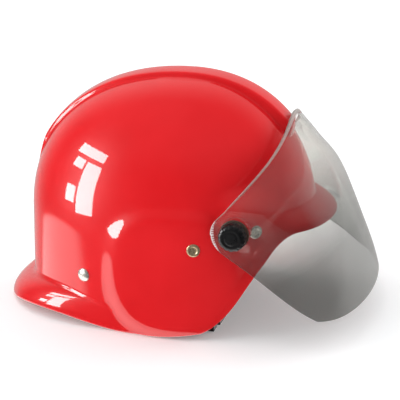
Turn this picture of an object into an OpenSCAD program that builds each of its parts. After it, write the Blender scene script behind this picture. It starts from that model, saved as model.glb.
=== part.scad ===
// Fire helmet: one-piece shell with a raised crest, peak, ear covers and neck brim,
// a hinged clear visor on clamp knobs, and a webbing suspension with a chin strap.
// Millimetres, +X forward, +Y to the wearer's left, +Z up, z = 0 is the table.

/* [Shell] */
// Centre of the dome to its front wall
dome_front = 117; // [105:1:130]
// Centre of the dome to its rear wall
dome_rear = 152; // [140:1:165]
// Half width of the dome
dome_half = 104; // [100:1:110]
// Height of the widest level above the table
dome_level = 89; // [82:1:96]
// Height of the dome above the table, without the crest
dome_top = 222; // [212:1:236]
// Wall thickness of the shell
shell_wall = 3; // [2.5:0.1:4]
// Reach of the front peak beyond the dome
peak_reach = 18.5; // [12:0.5:26]
// Height of the peak's edge above the table
peak_height = 96; // [90:1:104]
// Reach of the neck brim beyond the dome
brim_reach = 21; // [14:0.5:30]
// How far the ear covers stand out from the dome
ear_swell = 4.5; // [2:0.5:5]
// Width of the crest across its top
crest_width = 21; // [16:1:26]
// Height of the crest over the crown
crest_height = 4; // [3:0.5:6]
// Height of the crest at its front end
crest_nose_height = 8; // [6:0.5:9]

/* [Visor] */
// Thickness of the visor sheet
visor_wall = 2.2; // [1.6:0.1:3]
// Radius of the visor's round ears
ear_radius = 20.5; // [18:0.5:22]
// How far the visor bows forward of the line from its top to its lower edge
visor_bow = 9.5; // [6:0.5:14]
// Radius of the clamp knobs
knob_radius = 12.5; // [10:0.5:15]
// Thickness of the clamp knobs
knob_depth = 10.5; // [8:0.5:14]
// Radius of the pivot bolts
bolt_radius = 3; // [2.5:0.1:4]

/* [Rivets] */
// Radius of the rivet heads
rivet_head = 6.2; // [5:0.1:7]
// Radius of the rivet shanks
rivet_shank = 2.4; // [2:0.1:3]

/* [Suspension] */
// Mean gap between the ends of the dome and the headband
band_gap_ends = 35.5; // [33:0.5:38]
// Gap between the sides of the dome and the headband
band_gap_sides = 29; // [27:0.5:32]
// Height of the headband
band_height = 24; // [20:1:30]
// Thickness of the headband
band_wall = 1.8; // [1.2:0.1:2.5]
// Height of the crown pad above the headband's middle
crown_rise = 104; // [98:1:108]
// Width of the crown tapes
tape_width = 18; // [14:1:22]
// Thickness of the webbing
tape_wall = 1.5; // [1:0.1:2]
// Thickness of the impact liner
liner_wall = 15; // [10:1:18]
// Width of the chin strap
strap_width = 20; // [16:1:24]

/* [Hidden] */

// Clearances
fit = 0.05;      // running fit on a radius
face_gap = 0.05; // between flat faces that turn on each other
soft_gap = 0.3;  // round soft pieces

function smooth(u) = let (c = min(1, max(0, u))) c * c * (3 - 2 * c);
function mix(a, b, t) = a + (b - a) * t;
function unit(v) = v / norm(v);
function turned(p, a) = [p[0] * cos(a) - p[1] * sin(a), p[0] * sin(a) + p[1] * cos(a)];

// Half length and half width of the headband
band_length = (dome_front + dome_rear) / 2 - band_gap_ends;
band_width = dome_half - band_gap_sides;

// Visor profile in the middle plane, before the part is centred
visor_top = [94.4, 192];
visor_low = [171.4, 27];
rear_end = -(dome_rear + brim_reach);
front_end = visor_low[0] + visor_wall;
centre_x = (front_end + rear_end) / 2;
module centred() translate([-centre_x, 0, 0]) children();

// Pivot of the visor
pivot_x = 64;
pivot_z = 106.4;
boss_face = 100.8;
boss_radius = 14;
boss_depth = 5;
boss_skirt = 8.5;
foot_face = 94.5;
foot_radius = 8;
foot_reach = 38;

// Plan of the dome: a soft oval whose front is rounder than its rear
function front_share(a) = 0.5 + 0.5 * min(1, max(-1, 1.6 * cos(a)));
function plan_power(a) = mix(2.05, 1.9, front_share(a));
function rise_power(a) = mix(2.14, 2.08, front_share(a));
function plan_radius(a) =
    let (p = plan_power(a), len = cos(a) > 0 ? dome_front : dome_rear)
    pow(pow(abs(cos(a)) / len, p) + pow(abs(sin(a)) / dome_half, p), -1 / p);
function dome_share(a, z) =
    z <= dome_level ? 1
    : let (m = rise_power(a), t = min(1, (z - dome_level) / (dome_top - dome_level)))
      pow(max(0, 1 - pow(t, m)), 1 / m);

// Height of the shell's edge at an angle from the front, 0 to 180:
// the peak, the steep side of the face opening, the ear cover and the arched brim
face_edge_low = 73;
face_edge_span = 47;
function edge_z(a) =
    peak_height * smooth((face_edge_low - a) / face_edge_span)
    + 7 * smooth((a - 52) / 18) * smooth((100 - a) / 40)
    + 9 * pow(sin(180 * min(1, max(0, (a - 112) / 68))), 2);

// The edge flares out as a peak in front and a brim behind
brim_drop = 21;
peak_drop = 16;
function front_flare(a) = smooth((100 - a) / 60);
function flare_height(a) = mix(brim_drop, peak_drop, front_flare(a));
function flare_reach(a) =
    brim_reach * smooth((a - 112) / 52) + peak_reach * smooth((64 - a) / 52);
function flare_out(a, u) =
    flare_reach(a) * pow(sin(90 * pow(u, mix(0.75, 0.9, front_flare(a)))),
        mix(1, 1.35, front_flare(a)));

// Ear cover: the side stands out inside a soft oval, and swells to a flat boss at the pivot
oval = [6, 62];
oval_half = [62, 60];
function swell(x, z) =
    let (e = pow(pow(abs(x - oval[0]) / oval_half[0], 2.6)
        + pow(abs(z - oval[1]) / oval_half[1], 2.6), 1 / 2.6))
    ear_swell * smooth((1.12 - e) / 0.28);
function foot_share(x, z) =
    smooth((foot_reach - norm([x - pivot_x, z - pivot_z])) / (foot_reach - foot_radius));

function half_turn(a) = abs(a > 180 ? a - 360 : a);
function skin_point(b, z, u) =
    let (r = plan_radius(b) * dome_share(b, z) + flare_out(b, u),
         x = r * cos(b),
         y0 = r * sin(b),
         y1 = y0 + swell(x, z) * smooth(y0 / 40))
    [x, max(y1, mix(y1, foot_face, foot_share(x, z))), z];

// Crest: a raised band along the middle with soft shoulders, a blunt nose and a fading tail
crest_lines = [crest_width / 2 - 1.8, crest_width / 2 + 0.2, crest_width / 2 + 1.6, crest_width / 2 + 2.4];
crest_levels = [[crest_lines[0], 1], [crest_lines[1], 0.85], [crest_lines[2], 0.35], [crest_lines[3], 0]];
crest_nose = 37.2;
crest_tail = 167;
function climb(x, z) =
    let (b = asin(min(1, pow(max(0, z - dome_level) / (dome_top - dome_level), rise_power(x > 0 ? 0 : 180) / 2))))
    x > 0 ? b : 180 - b;
function crest_rise(p) =
    let (t = climb(p[0], p[2]))
    mix(crest_nose_height, crest_height, smooth((t - 42) / 48))
    * pow(sin(90 * min(1, max(0, (t - crest_nose) / 6))), 0.6)
    * smooth((crest_tail - t) / 16) * lookup(abs(p[1]), crest_levels);

// Columns of the skin's grid, closer where the edge climbs at the sides of the face opening
half_columns = 44;
fine_from = 26;
fine_to = 74;
fine_columns = 18;
front_columns = 6;
function half_angle(k) =
    k <= front_columns ? fine_from * k / front_columns
    : k <= front_columns + fine_columns ? mix(fine_from, fine_to, (k - front_columns) / fine_columns)
    : mix(fine_to, 180, (k - front_columns - fine_columns) / (half_columns - front_columns - fine_columns));

// Rows: four round the crown along the crest's lines, one between, then down the dome and the flare
crown_rows = len(crest_lines);
crown_reach = [22, 24.5, 26.5, 28.5];
dome_parts = [0.95, 0.905, 0.85, 0.785, 0.715, 0.648, 0.605, 0.567, 0.533, 0.46, 0.37, 0.28, 0.19, 0.1, 0];
flare_rows = 5;
first_ring = crown_rows + 1;
edge_ring = first_ring + len(dome_parts) - 1;
last_ring = edge_ring + flare_rows;
function ring_height(b, j) =
    let (start = edge_z(b) + flare_height(b))
    j <= edge_ring ? mix(start, dome_top, dome_parts[j - first_ring])
    : start - flare_height(b) * (j - edge_ring) / flare_rows;
function ring_flare(j) = max(0, j - edge_ring) / flare_rows;

// The first and last columns follow the crest's lines while they are on it
lines = len(crest_lines);
function line_angle(y, z, near, n = 4) =
    n == 0 ? near
    : line_angle(y, z, asin(min(0.98, y / (plan_radius(near) * dome_share(near, z)))), n - 1);
function tail_angle(y, z, near, n = 4) =
    n == 0 ? near
    : tail_angle(y, z, 180 - asin(min(0.98, y / (plan_radius(near) * dome_share(near, z)))), n - 1);
function front_hold(z) = smooth((z - 125) / 45);
function tail_hold(z) = smooth((z - 70) / 35);
function ring_angle(k, z) =
    let (n = half_columns, a = half_angle(k), low = half_angle(lines), high = half_angle(n - lines))
    k == 0 ? 0 : k == n ? 180
    : k <= lines ? mix(a, line_angle(crest_lines[k - 1], z, 15), front_hold(z))
    : k >= n - lines ? mix(a, tail_angle(crest_lines[n - k - 1], z, 165), tail_hold(z))
    : a + mix(front_hold(z) * (line_angle(crest_lines[lines - 1], z, 15) - low),
              tail_hold(z) * (tail_angle(crest_lines[lines - 1], z, 165) - high), (a - low) / (high - low));
function crown_place(k, j) =
    let (n = half_columns, c = j + 1, x = crown_reach[j])
    k <= c ? [x, k == 0 ? 0 : crest_lines[k - 1]]
    : k >= n - c ? [-x, k == n ? 0 : crest_lines[n - k - 1]]
    : [mix(x, -x, (k - c) / (n - 2 * c)), crest_lines[j]];
function on_dome(q) =
    let (b = atan2(q[1], q[0]), m = rise_power(b), share = norm(q) / plan_radius(b))
    [q[0], q[1], dome_level + (dome_top - dome_level) * pow(1 - pow(share, m), 1 / m)];
function ring_point(k, j) =
    let (z = ring_height(half_angle(k), j)) skin_point(ring_angle(k, z), z, ring_flare(j));
function half_point(k, j) =
    j < crown_rows ? on_dome(crown_place(k, j))
    : j < first_ring ? let (p = ring_point(k, first_ring)) on_dome((crown_place(k, crown_rows - 1) + [p[0], p[1]]) / 2)
    : ring_point(k, j);

function grid_normal(g, i, j) =
    let (n = len(g), m = len(g[0]),
         du = g[(i + 1) % n][j] - g[(i + n - 1) % n][j],
         dv = g[i][min(j + 1, m - 1)] - g[i][max(j - 1, 0)])
    unit(cross(dv, du));
function inset(g, depth) =
    [for (i = [0 : len(g) - 1]) [for (j = [0 : len(g[0]) - 1])
        let (p = g[i][j] - depth * grid_normal(g, i, j))
        [p[0], p[1], max(p[2], g[i][len(g[0]) - 1][2])]]];

half_grid = [for (k = [0 : half_columns]) [for (j = [0 : last_ring]) half_point(k, j)]];
skin_grid = [for (i = [0 : 2 * half_columns - 1])
    i <= half_columns ? half_grid[i] : [for (p = half_grid[2 * half_columns - i]) [p[0], -p[1], p[2]]]];
outer_grid = [for (i = [0 : len(skin_grid) - 1]) [for (j = [0 : last_ring])
    skin_grid[i][j] + crest_rise(skin_grid[i][j]) * grid_normal(skin_grid, i, j)]];
inner_grid = inset(skin_grid, shell_wall);
crown = [0, 0, dome_top];

// Two triangles for a quad, split along its shorter diagonal
function quad(pts, a, b, c, d) =
    norm(pts[a] - pts[c]) <= norm(pts[b] - pts[d]) ? [[a, b, c], [a, c, d]] : [[a, b, d], [b, c, d]];

// A closed cap between two grids of the same size, each with a pole on top
module cap(outer, inner, outer_top, inner_top) {
    n = len(outer);
    m = len(outer[0]);
    points = concat([outer_top, inner_top],
        [for (row = outer) for (p = row) p], [for (row = inner) for (p = row) p]);
    function o(i, j) = 2 + (i % n) * m + j;
    function k(i, j) = 2 + n * m + (i % n) * m + j;
    faces = concat(
        [for (i = [0 : n - 1]) [0, o(i + 1, 0), o(i, 0)]],
        [for (i = [0 : n - 1]) [1, k(i, 0), k(i + 1, 0)]],
        [for (i = [0 : n - 1]) for (j = [0 : m - 2])
            each quad(points, o(i, j), o(i + 1, j), o(i + 1, j + 1), o(i, j + 1))],
        [for (i = [0 : n - 1]) for (j = [0 : m - 2])
            each quad(points, k(i, j), k(i, j + 1), k(i + 1, j + 1), k(i + 1, j))],
        [for (i = [0 : n - 1])
            each quad(points, o(i, m - 1), o(i + 1, m - 1), k(i + 1, m - 1), k(i, m - 1))]);
    polyhedron(points, faces);
}

// Rivet seats: place on the outer skin on the left side, and the turn of the axis from +Y
// towards the front. The three lie on the tilted line of the suspension.
front_seat = [80.5, 88.6, 105.6];
middle_seat = [26.8, 104.6, 88.6];
rear_seat = [-80.8, 89.0, 48.8];
front_turn = 40;
middle_turn = 10;
rear_turn = -22;
seat_sink = 0.5;
seat_radius = rivet_head + 0.8;
anchor_radius = 10;
inner_seat = -shell_wall + 0.6;

// Local +Z points out of the shell along the rivet
module on_side(side) {
    if (side > 0) children();
    else mirror([0, 1, 0]) children();
}
module at_seat(seat, turn, side)
    on_side(side) translate(seat) rotate([-90, 0, 0]) rotate([0, turn, 0]) children();

module seat_cut(seat, turn)
    for (side = [-1, 1]) at_seat(seat, turn, side) {
        translate([0, 0, -seat_sink]) cylinder(r = seat_radius, h = 8, $fn = 32);
        translate([0, 0, -12]) cylinder(r = rivet_shank + fit, h = 20, $fn = 24);
        translate([0, 0, inner_seat - 8]) cylinder(r = anchor_radius + 0.8, h = 8, $fn = 32);
    }

module along_y(x, z, side) on_side(side) translate([x, 0, z]) rotate([-90, 0, 0]) children();

module shell() centred() color("#d3222a")
    difference() {
        union() {
            cap(outer_grid, inner_grid, crown + [0, 0, crest_rise(crown)], crown - [0, 0, shell_wall]);
            for (side = [-1, 1]) along_y(pivot_x, pivot_z, side)
                translate([0, 0, boss_face - boss_skirt]) cylinder(r = boss_radius, h = boss_skirt, $fn = 48);
        }
        for (side = [-1, 1]) along_y(pivot_x, pivot_z, side) {
            translate([0, 0, 80]) cylinder(r = bolt_radius + fit, h = 30, $fn = 32);
            translate([0, 0, boss_face]) cylinder(r = boss_radius + 4, h = 8, $fn = 48);
            translate([0, 0, boss_face - boss_depth - 8]) cylinder(r = boss_radius - 2, h = 8, $fn = 48);
        }
        seat_cut(front_seat, front_turn);
        seat_cut(middle_seat, middle_turn);
        seat_cut(rear_seat, rear_turn);
    }

// Visor: level sections are half ovals from ear to ear
washer_wall = 1.7;
spring_wall = 0.9;
ear_face = boss_face + washer_wall + 2 * face_gap;
visor_root_x = 60;
bow_chord = norm(visor_top - visor_low);
bow_radius = pow(bow_chord / 2, 2) / (2 * visor_bow) + visor_bow / 2;
bow_dir = unit(visor_top - visor_low);
bow_centre = (visor_top + visor_low) / 2 - [bow_dir[1], -bow_dir[0]] * (bow_radius - visor_bow);
function bow_x(z) = bow_centre[0] + sqrt(pow(bow_radius, 2) - pow(z - bow_centre[1], 2));
function visor_power(z) =
    z > 108 ? mix(3.9, 2, smooth((z - 108) / 52)) : mix(5.3, 3.9, smooth((z - 30) / 78));
function visor_half(z) =
    ear_face + 12 * smooth((82 - z) / 60) - 0.2 * pow(max(0, z - 128), 1.4);
function visor_point(s, z) =
    [visor_root_x + s * (bow_x(z) - visor_root_x),
     visor_half(z) * sqrt(max(0, 1 - pow(max(0, s), visor_power(z)))), z];
function visor_share_at(y, z) = pow(max(0, 1 - pow(y / visor_half(z), 2)), 1 / visor_power(z));
function visor_share(q) = (q[0] - visor_root_x) / (bow_x(q[1]) - visor_root_x);

// Side outline of the sheet: straight lower edge from the ear, round corner, bottom edge;
// and the upper rim from the ear to its raised middle
ear_centre = [62.8, 105.8];
lower_corner = [144.5, 27.5];
function tangent_point(c, r, q, side) =
    c + r * turned(unit(q - c), side * acos(r / norm(q - c)));
lower_start = tangent_point(ear_centre, ear_radius, lower_corner, -1);
lower_dir = unit(lower_corner - lower_start);
rim_bend = [[81, 155], [95, 170]];
rim_start = tangent_point(ear_centre, ear_radius, rim_bend[0], 1);
function bezier(p, t) =
    pow(1 - t, 3) * p[0] + 3 * t * pow(1 - t, 2) * p[1] + 3 * t * t * (1 - t) * p[2] + pow(t, 3) * p[3];

sheet_columns = 24;
sheet_rows = 7;
side_columns = 11;
corner_round = 5;
corner_y = visor_point(visor_share(lower_corner - corner_round * lower_dir), lower_corner[1])[1];
function lower_edge(k) =
    k <= side_columns
    ? mix(lower_start, lower_corner - corner_round * lower_dir, k / side_columns)
    : let (t = (k - side_columns) / (sheet_columns - side_columns),
           low = mix(lower_corner[1], visor_low[1], t),
           z = low + (lower_corner + corner_round * -lower_dir - lower_corner)[1] * pow(1 - t, 9),
           y = corner_y * (1 - t), s = visor_share_at(y, z))
      [visor_root_x + s * (bow_x(z) - visor_root_x), z];
function upper_edge(k) =
    let (t = k / sheet_columns, f = 1 - pow(1 - t, 1.7))
    bezier([rim_start, rim_bend[0], rim_bend[1], visor_top], f);
function sheet_line(k) =
    let (a = lower_edge(k), b = upper_edge(k), sa = visor_share(a), sb = visor_share(b))
    [for (j = [0 : sheet_rows]) let (t = j / sheet_rows) visor_point(mix(sa, sb, t), mix(a[1], b[1], t))];
right_lines = [for (k = [0 : sheet_columns]) [for (p = sheet_line(k)) [p[0], -p[1], p[2]]]];
left_lines = [for (k = [sheet_columns - 1 : -1 : 0]) [for (p = right_lines[k]) [p[0], -p[1], p[2]]]];
sheet_inner = concat(right_lines, left_lines);
function sheet_normal(i, j) =
    let (n = len(sheet_inner), du = sheet_inner[min(i + 1, n - 1)][j] - sheet_inner[max(i - 1, 0)][j],
         dv = sheet_inner[i][min(j + 1, sheet_rows)] - sheet_inner[i][max(j - 1, 0)])
    unit(cross(du, dv));
function flat_normal(p) = [0, sign(p[1]), 0];
sheet_outer = [for (i = [0 : len(sheet_inner) - 1]) [for (j = [0 : sheet_rows])
    let (p = sheet_inner[i][j], flat = p[0] < visor_root_x && p[2] < 128 && p[2] > 82)
    p + visor_wall * (flat ? flat_normal(p) : sheet_normal(i, j))]];

module sheet() {
    n = len(sheet_inner);
    m = sheet_rows + 1;
    points = concat([for (r = sheet_inner) for (p = r) p], [for (r = sheet_outer) for (p = r) p]);
    function a(i, j) = i * m + j;
    function b(i, j) = n * m + i * m + j;
    faces = concat(
        [for (i = [0 : n - 2]) for (j = [0 : m - 2])
            each quad(points, a(i, j), a(i + 1, j), a(i + 1, j + 1), a(i, j + 1))],
        [for (i = [0 : n - 2]) for (j = [0 : m - 2])
            each quad(points, b(i, j), b(i, j + 1), b(i + 1, j + 1), b(i + 1, j))],
        [for (i = [0 : n - 2]) each quad(points, a(i + 1, 0), a(i, 0), b(i, 0), b(i + 1, 0))],
        [for (i = [0 : n - 2]) each quad(points, a(i, m - 1), a(i + 1, m - 1), b(i + 1, m - 1), b(i, m - 1))],
        [for (j = [0 : m - 2]) each quad(points, a(0, j), a(0, j + 1), b(0, j + 1), b(0, j))],
        [for (j = [0 : m - 2]) each quad(points, a(n - 1, j + 1), a(n - 1, j), b(n - 1, j), b(n - 1, j + 1))]);
    polyhedron(points, faces);
}

bush_radius = 5.5;
tooth_count = 8;
tooth_from = 186;
tooth_step = 6.5;
notch = 1.1;
module visor() centred() color("#bcc2c2", 0.45)
    difference() {
        union() {
            sheet();
            for (side = [-1, 1]) along_y(ear_centre[0], ear_centre[1], side)
                translate([0, 0, ear_face]) cylinder(r = ear_radius, h = visor_wall, $fn = 96);
        }
        for (side = [-1, 1]) along_y(pivot_x, pivot_z, side)
            translate([0, 0, ear_face - 5]) cylinder(r = bush_radius + fit, h = 20, $fn = 48);
        for (side = [-1, 1]) along_y(pivot_x, pivot_z, side)
            translate([0, 0, ear_face - 5]) cylinder(r = boss_radius + 2, h = 5, $fn = 64);
        for (side = [-1, 1]) along_y(ear_centre[0], ear_centre[1], side) for (k = [0 : tooth_count - 1])
            rotate([0, 0, -(tooth_from + k * tooth_step)])
                translate([ear_radius + 0.5, 0, ear_face - 1]) cylinder(r = notch, h = visor_wall + 2, $fn = 16);
    }

// Pivot stack, from the bolt head inside the shell out to the knob
bolt_head = 2.4;
bolt_seat = boss_face - boss_depth;
knob_base = ear_face + visor_wall + spring_wall + 2 * face_gap;
bolt_reach = knob_base + 8;
module ring(r_out, r_in, h) difference() {
    cylinder(r = r_out, h = h, $fn = 64);
    translate([0, 0, -1]) cylinder(r = r_in, h = h + 2, $fn = 48);
}
module pivot_bolt(side) centred() color("#9a9da0") along_y(pivot_x, pivot_z, side) {
    translate([0, 0, bolt_seat - bolt_head - face_gap]) cylinder(r = 8.5, h = bolt_head, $fn = 48);
    translate([0, 0, bolt_seat - bolt_head]) cylinder(r = bolt_radius, h = bolt_reach - bolt_seat + bolt_head, $fn = 48);
}
module pivot_bolt_left() pivot_bolt(1);
module pivot_bolt_right() pivot_bolt(-1);
module pivot_bushes() centred() color("#e8e4d8") for (side = [-1, 1]) along_y(pivot_x, pivot_z, side)
    translate([0, 0, ear_face + face_gap]) ring(bush_radius, bolt_radius + fit, visor_wall);
module friction_washers() centred() color("#8b8378") for (side = [-1, 1]) along_y(pivot_x, pivot_z, side)
    translate([0, 0, boss_face + face_gap]) ring(boss_radius - 0.5, bolt_radius + fit, washer_wall);
module spring_washers() centred() color("#b8bbbe") for (side = [-1, 1]) along_y(pivot_x, pivot_z, side)
    translate([0, 0, ear_face + visor_wall + face_gap + 0.05]) ring(9.5, bolt_radius + 2 * fit, spring_wall - 0.1);

flutes = 14;
module visor_knob(side) centred() color("#1c1d1f") along_y(pivot_x, pivot_z, side)
    translate([0, 0, knob_base]) difference() {
        rotate_extrude($fn = 96) polygon([[0, 0], [knob_radius - 0.6, 0], [knob_radius, 0.8],
            [knob_radius, knob_depth - 3], [knob_radius - 0.8, knob_depth - 1.4],
            [knob_radius - 2.4, knob_depth - 0.3], [knob_radius - 4, knob_depth], [0, knob_depth]]);
        for (k = [1 : flutes]) rotate([0, 0, 360 * k / flutes])
            translate([knob_radius + 1.1, 0, 2.6]) cylinder(r = 1.9, h = knob_depth, $fn = 24);
        translate([0, 0, -1]) cylinder(r = bolt_radius + fit, h = 1 + bolt_reach - knob_base + 0.3, $fn = 48);
    }
module visor_knob_left() visor_knob(1);
module visor_knob_right() visor_knob(-1);

// Rivets: domed head outside, shank, tail inside the anchor
anchor_wall = 3;
tail_wall = 1.25;
module rivets(seat, turn) centred() color("#c9ccd0") for (side = [-1, 1]) at_seat(seat, turn, side) {
    translate([0, 0, -seat_sink + face_gap]) rotate_extrude($fn = 64) polygon([[0, 0], [rivet_head, 0],
        [rivet_head, 0.5], [rivet_head * 0.93, 1.0], [rivet_head * 0.75, 1.55],
        [rivet_head * 0.45, 1.95], [0, 2.1]]);
    translate([0, 0, inner_seat - anchor_wall - 0.1]) cylinder(r = rivet_shank, h = anchor_wall - inner_seat, $fn = 32);
    translate([0, 0, inner_seat - anchor_wall - 0.05 - tail_wall]) cylinder(r = rivet_shank + 1.4, h = tail_wall, $fn = 32);
}
module rivets_front() rivets(front_seat, front_turn);
module rivets_middle() rivets(middle_seat, middle_turn);
module rivets_rear() rivets(rear_seat, rear_turn);

// Suspension frame: its plane follows the line of the rivets
tilt = atan((front_seat[2] - rear_seat[2]) / (front_seat[0] - rear_seat[0]));
frame_x = -19;
frame_z = middle_seat[2] + (frame_x - middle_seat[0]) * tan(tilt);
head_x = 6;
module harness() centred() translate([frame_x, 0, frame_z]) rotate([0, -tilt, 0])
    translate([head_x, 0, 0]) children();
function to_harness(p) =
    let (x = p[0] - frame_x, z = p[2] - frame_z)
    [x * cos(tilt) + z * sin(tilt) - head_x, p[1], z * cos(tilt) - x * sin(tilt)];

// Anchors at the front and rear: plate, lug and cross pin for a hanger
pin_drop = 8;
pin_radius = 2.5;
pin_half = 12.8;
lug_half = 4;
function pin_place(seat, turn) =
    to_harness(seat - [sin(turn), cos(turn), 0] * (anchor_wall - inner_seat + pin_drop));
function arm_angle(h) = atan2(h[1], h[0]);
function arm_reach(h) = norm([h[0], h[1]]);
module at_pin(seat, turn, side) {
    h = pin_place(seat, turn);
    harness() on_side(side) rotate([0, 0, arm_angle(h)]) translate([arm_reach(h), 0, h[2]]) children();
}
module anchor_plate(seat, turn, side) centred() at_seat(seat, turn, side)
    translate([0, 0, inner_seat - anchor_wall]) cylinder(r = anchor_radius, h = anchor_wall - face_gap, $fn = 48);
module anchors(seat, turn) color("#8f9397") for (side = [-1, 1]) difference() {
    union() {
        anchor_plate(seat, turn, side);
        at_pin(seat, turn, side) {
            translate([-3.2, -lug_half, -3.5]) cube([pin_drop + 4.2, 2 * lug_half, 7]);
            rotate([90, 0, 0]) translate([0, 0, -pin_half]) cylinder(r = pin_radius, h = 2 * pin_half, $fn = 40);
        }
    }
    centred() at_seat(seat, turn, side) {
        translate([0, 0, inner_seat - anchor_wall - 0.3]) cylinder(r = rivet_shank + fit, h = 8, $fn = 32);
        translate([0, 0, inner_seat - anchor_wall - 6]) cylinder(r = rivet_shank + 1.8, h = 6, $fn = 32);
    }
}
module anchors_front() anchors(front_seat, front_turn);
module anchors_rear() anchors(rear_seat, rear_turn);

// Anchors at the middle: a bridge with two cheeks and a pin for the chin strap
strap_pin = [middle_seat[0], 90.5, middle_seat[2]];
bridge_y = 95.2;
cheek_in = strap_width / 2 + 0.6;
cheek_out = cheek_in + 2;
module anchors_middle() color("#8f9397") for (side = [-1, 1]) difference() {
    union() {
        anchor_plate(middle_seat, middle_turn, side);
        centred() on_side(side) translate([strap_pin[0], 0, strap_pin[2]]) {
            translate([-4, bridge_y, -5]) cube([8, 4, 10]);
            translate([-cheek_out, bridge_y - 0.01, -4]) cube([2 * cheek_out, 1.8, 8]);
            for (end = [-cheek_out, cheek_in]) translate([end, 86.6, -4]) cube([2, bridge_y - 86, 8]);
            translate([-cheek_out, strap_pin[1], 0]) rotate([0, 90, 0])
                cylinder(r = pin_radius, h = 2 * cheek_out, $fn = 40);
        }
    }
    centred() at_seat(middle_seat, middle_turn, side) {
        translate([0, 0, inner_seat - anchor_wall - 0.3]) cylinder(r = rivet_shank + fit, h = 8, $fn = 32);
        translate([0, 0, inner_seat - anchor_wall - 2.5]) cylinder(r = rivet_shank + 1.8, h = 2.5, $fn = 32);
    }
}

// Impact liner: a foam cap under the shell, down to a plane above the headband
liner_low = 30;
liner_gap = 1.4;
liner_columns = 48;
liner_rows = 8;
function liner_radius(a, z, in) =
    let (b = half_turn(a), top = dome_top - in,
         k = dome_share(b, dome_level + (z - dome_level) * (dome_top - dome_level) / (top - dome_level)))
    (plan_radius(b) - in) * k;
function liner_edge(a, in, n = 8, z = 120) =
    n == 0 ? z
    : liner_edge(a, in, n - 1,
        frame_z + (liner_radius(a, z, in) * cos(a) - frame_x) * tan(tilt) + liner_low / cos(tilt));
function liner_grid(in) =
    [for (i = [0 : liner_columns - 1]) let (a = 360 * i / liner_columns, e = liner_edge(a, in))
        [for (j = [1 : liner_rows]) let (z = e + (dome_top - in - e) * cos(90 * j / liner_rows),
            r = liner_radius(a, z, in)) [r * cos(a), r * sin(a), z]]];
module impact_liner() centred() color("#3a3b3d")
    let (out = shell_wall + liner_gap, into = shell_wall + liner_gap + liner_wall)
    cap(liner_grid(out), liner_grid(into), [0, 0, dome_top - out], [0, 0, dome_top - into]);

// Headband: an oval strip, open at the nape
band_open = 26;
band_end = 180 - asin(band_open / band_width);
function oval_point(a, grow) = [(band_length + grow) * cos(a), (band_width + grow) * sin(a)];
function oval_turn(a, grow) = atan2(sin(a) / (band_width + grow), cos(a) / (band_length + grow));
function oval_share(polar, grow) = atan2(sin(polar) / (band_width + grow), cos(polar) / (band_length + grow));
module oval_strip(inner, outer, from, to, low, high) {
    steps = 72;
    angles = [for (k = [0 : steps]) mix(from, to, k / steps)];
    translate([0, 0, low]) linear_extrude(high - low)
        polygon(concat([for (a = angles) oval_point(a, outer)],
            [for (k = [steps : -1 : 0]) oval_point(angles[k], inner)]));
}
// Where a hanger meets the band: local +X points out of the band
stud_radius = 2;
module at_band(seat, turn, side) {
    t = oval_share(arm_angle(pin_place(seat, turn)), band_wall);
    p = oval_point(t, band_wall);
    harness() on_side(side) translate([p[0], p[1], 0]) rotate([0, 0, oval_turn(t, band_wall)]) children();
}
module stud_bores(seat, turn) for (side = [-1, 1]) at_band(seat, turn, side)
    translate([-6, 0, 0]) rotate([0, 90, 0]) cylinder(r = stud_radius + fit, h = 12, $fn = 32);
module headband() color("#2c2e30") difference() {
    harness() oval_strip(0, band_wall, -band_end, band_end, -band_height / 2, band_height / 2);
    stud_bores(front_seat, front_turn);
    stud_bores(rear_seat, rear_turn);
}
pad_span = 34;
module brow_pad() color("#4a4c50") harness()
    oval_strip(-5 - soft_gap, -soft_gap, -pad_span, pad_span, -band_height / 2 - 2, band_height / 2 + 3);

// Hangers: eyes on the anchor's pin, a cross bar for the crown tape, a web and a plate on the band
rail_in = tape_width / 2 + 0.5;
rail_out = rail_in + 2.5;
bar_back = 9;
bar_radius = 2;
hanger_plate = 1.8;
eye_radius = 4.1;
rail_back = bar_back + bar_radius + soft_gap + tape_wall + 1.8;
module hangers(seat, turn) color("#26282a") for (side = [-1, 1]) {
    h = pin_place(seat, turn);
    t = oval_share(arm_angle(h), band_wall);
    span = arm_reach(h) - norm(oval_point(t, band_wall));
    difference() {
        union() {
            at_pin(seat, turn, side) {
                for (end = [rail_in, -rail_out]) {
                    translate([0, end + rail_out - rail_in, 0]) rotate([90, 0, 0])
                        cylinder(r = eye_radius, h = rail_out - rail_in, $fn = 48);
                    translate([-rail_back, end, -2.3]) cube([rail_back, rail_out - rail_in, 4.6]);
                }
                translate([-bar_back, rail_out, 0]) rotate([90, 0, 0]) cylinder(r = bar_radius, h = 2 * rail_out, $fn = 32);
                translate([-rail_back, -rail_out, -1.2]) cube([1.6, 2 * rail_out, 2.4]);
                translate([-span + 1.2, -7, -1.2]) cube([max(1, span - rail_back), 14, 2.4]);
            }
            at_band(seat, turn, side) translate([face_gap, -7.5, -8]) cube([hanger_plate, 15, 16]);
        }
        at_pin(seat, turn, side) translate([0, 20, 0]) rotate([90, 0, 0])
            cylinder(r = pin_radius + fit, h = 40, $fn = 40);
        at_band(seat, turn, side) {
            translate([-6, 0, 0]) rotate([0, 90, 0]) cylinder(r = stud_radius + fit, h = 12, $fn = 32);
            translate([-4, -12, -10]) cube([4 + face_gap, 24, 20]);
            translate([hanger_plate + face_gap, 0, 0]) rotate([0, 90, 0]) cylinder(r = 4.2, h = 3, $fn = 32);
        }
    }
}
module hangers_front() hangers(front_seat, front_turn);
module hangers_rear() hangers(rear_seat, rear_turn);
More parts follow.
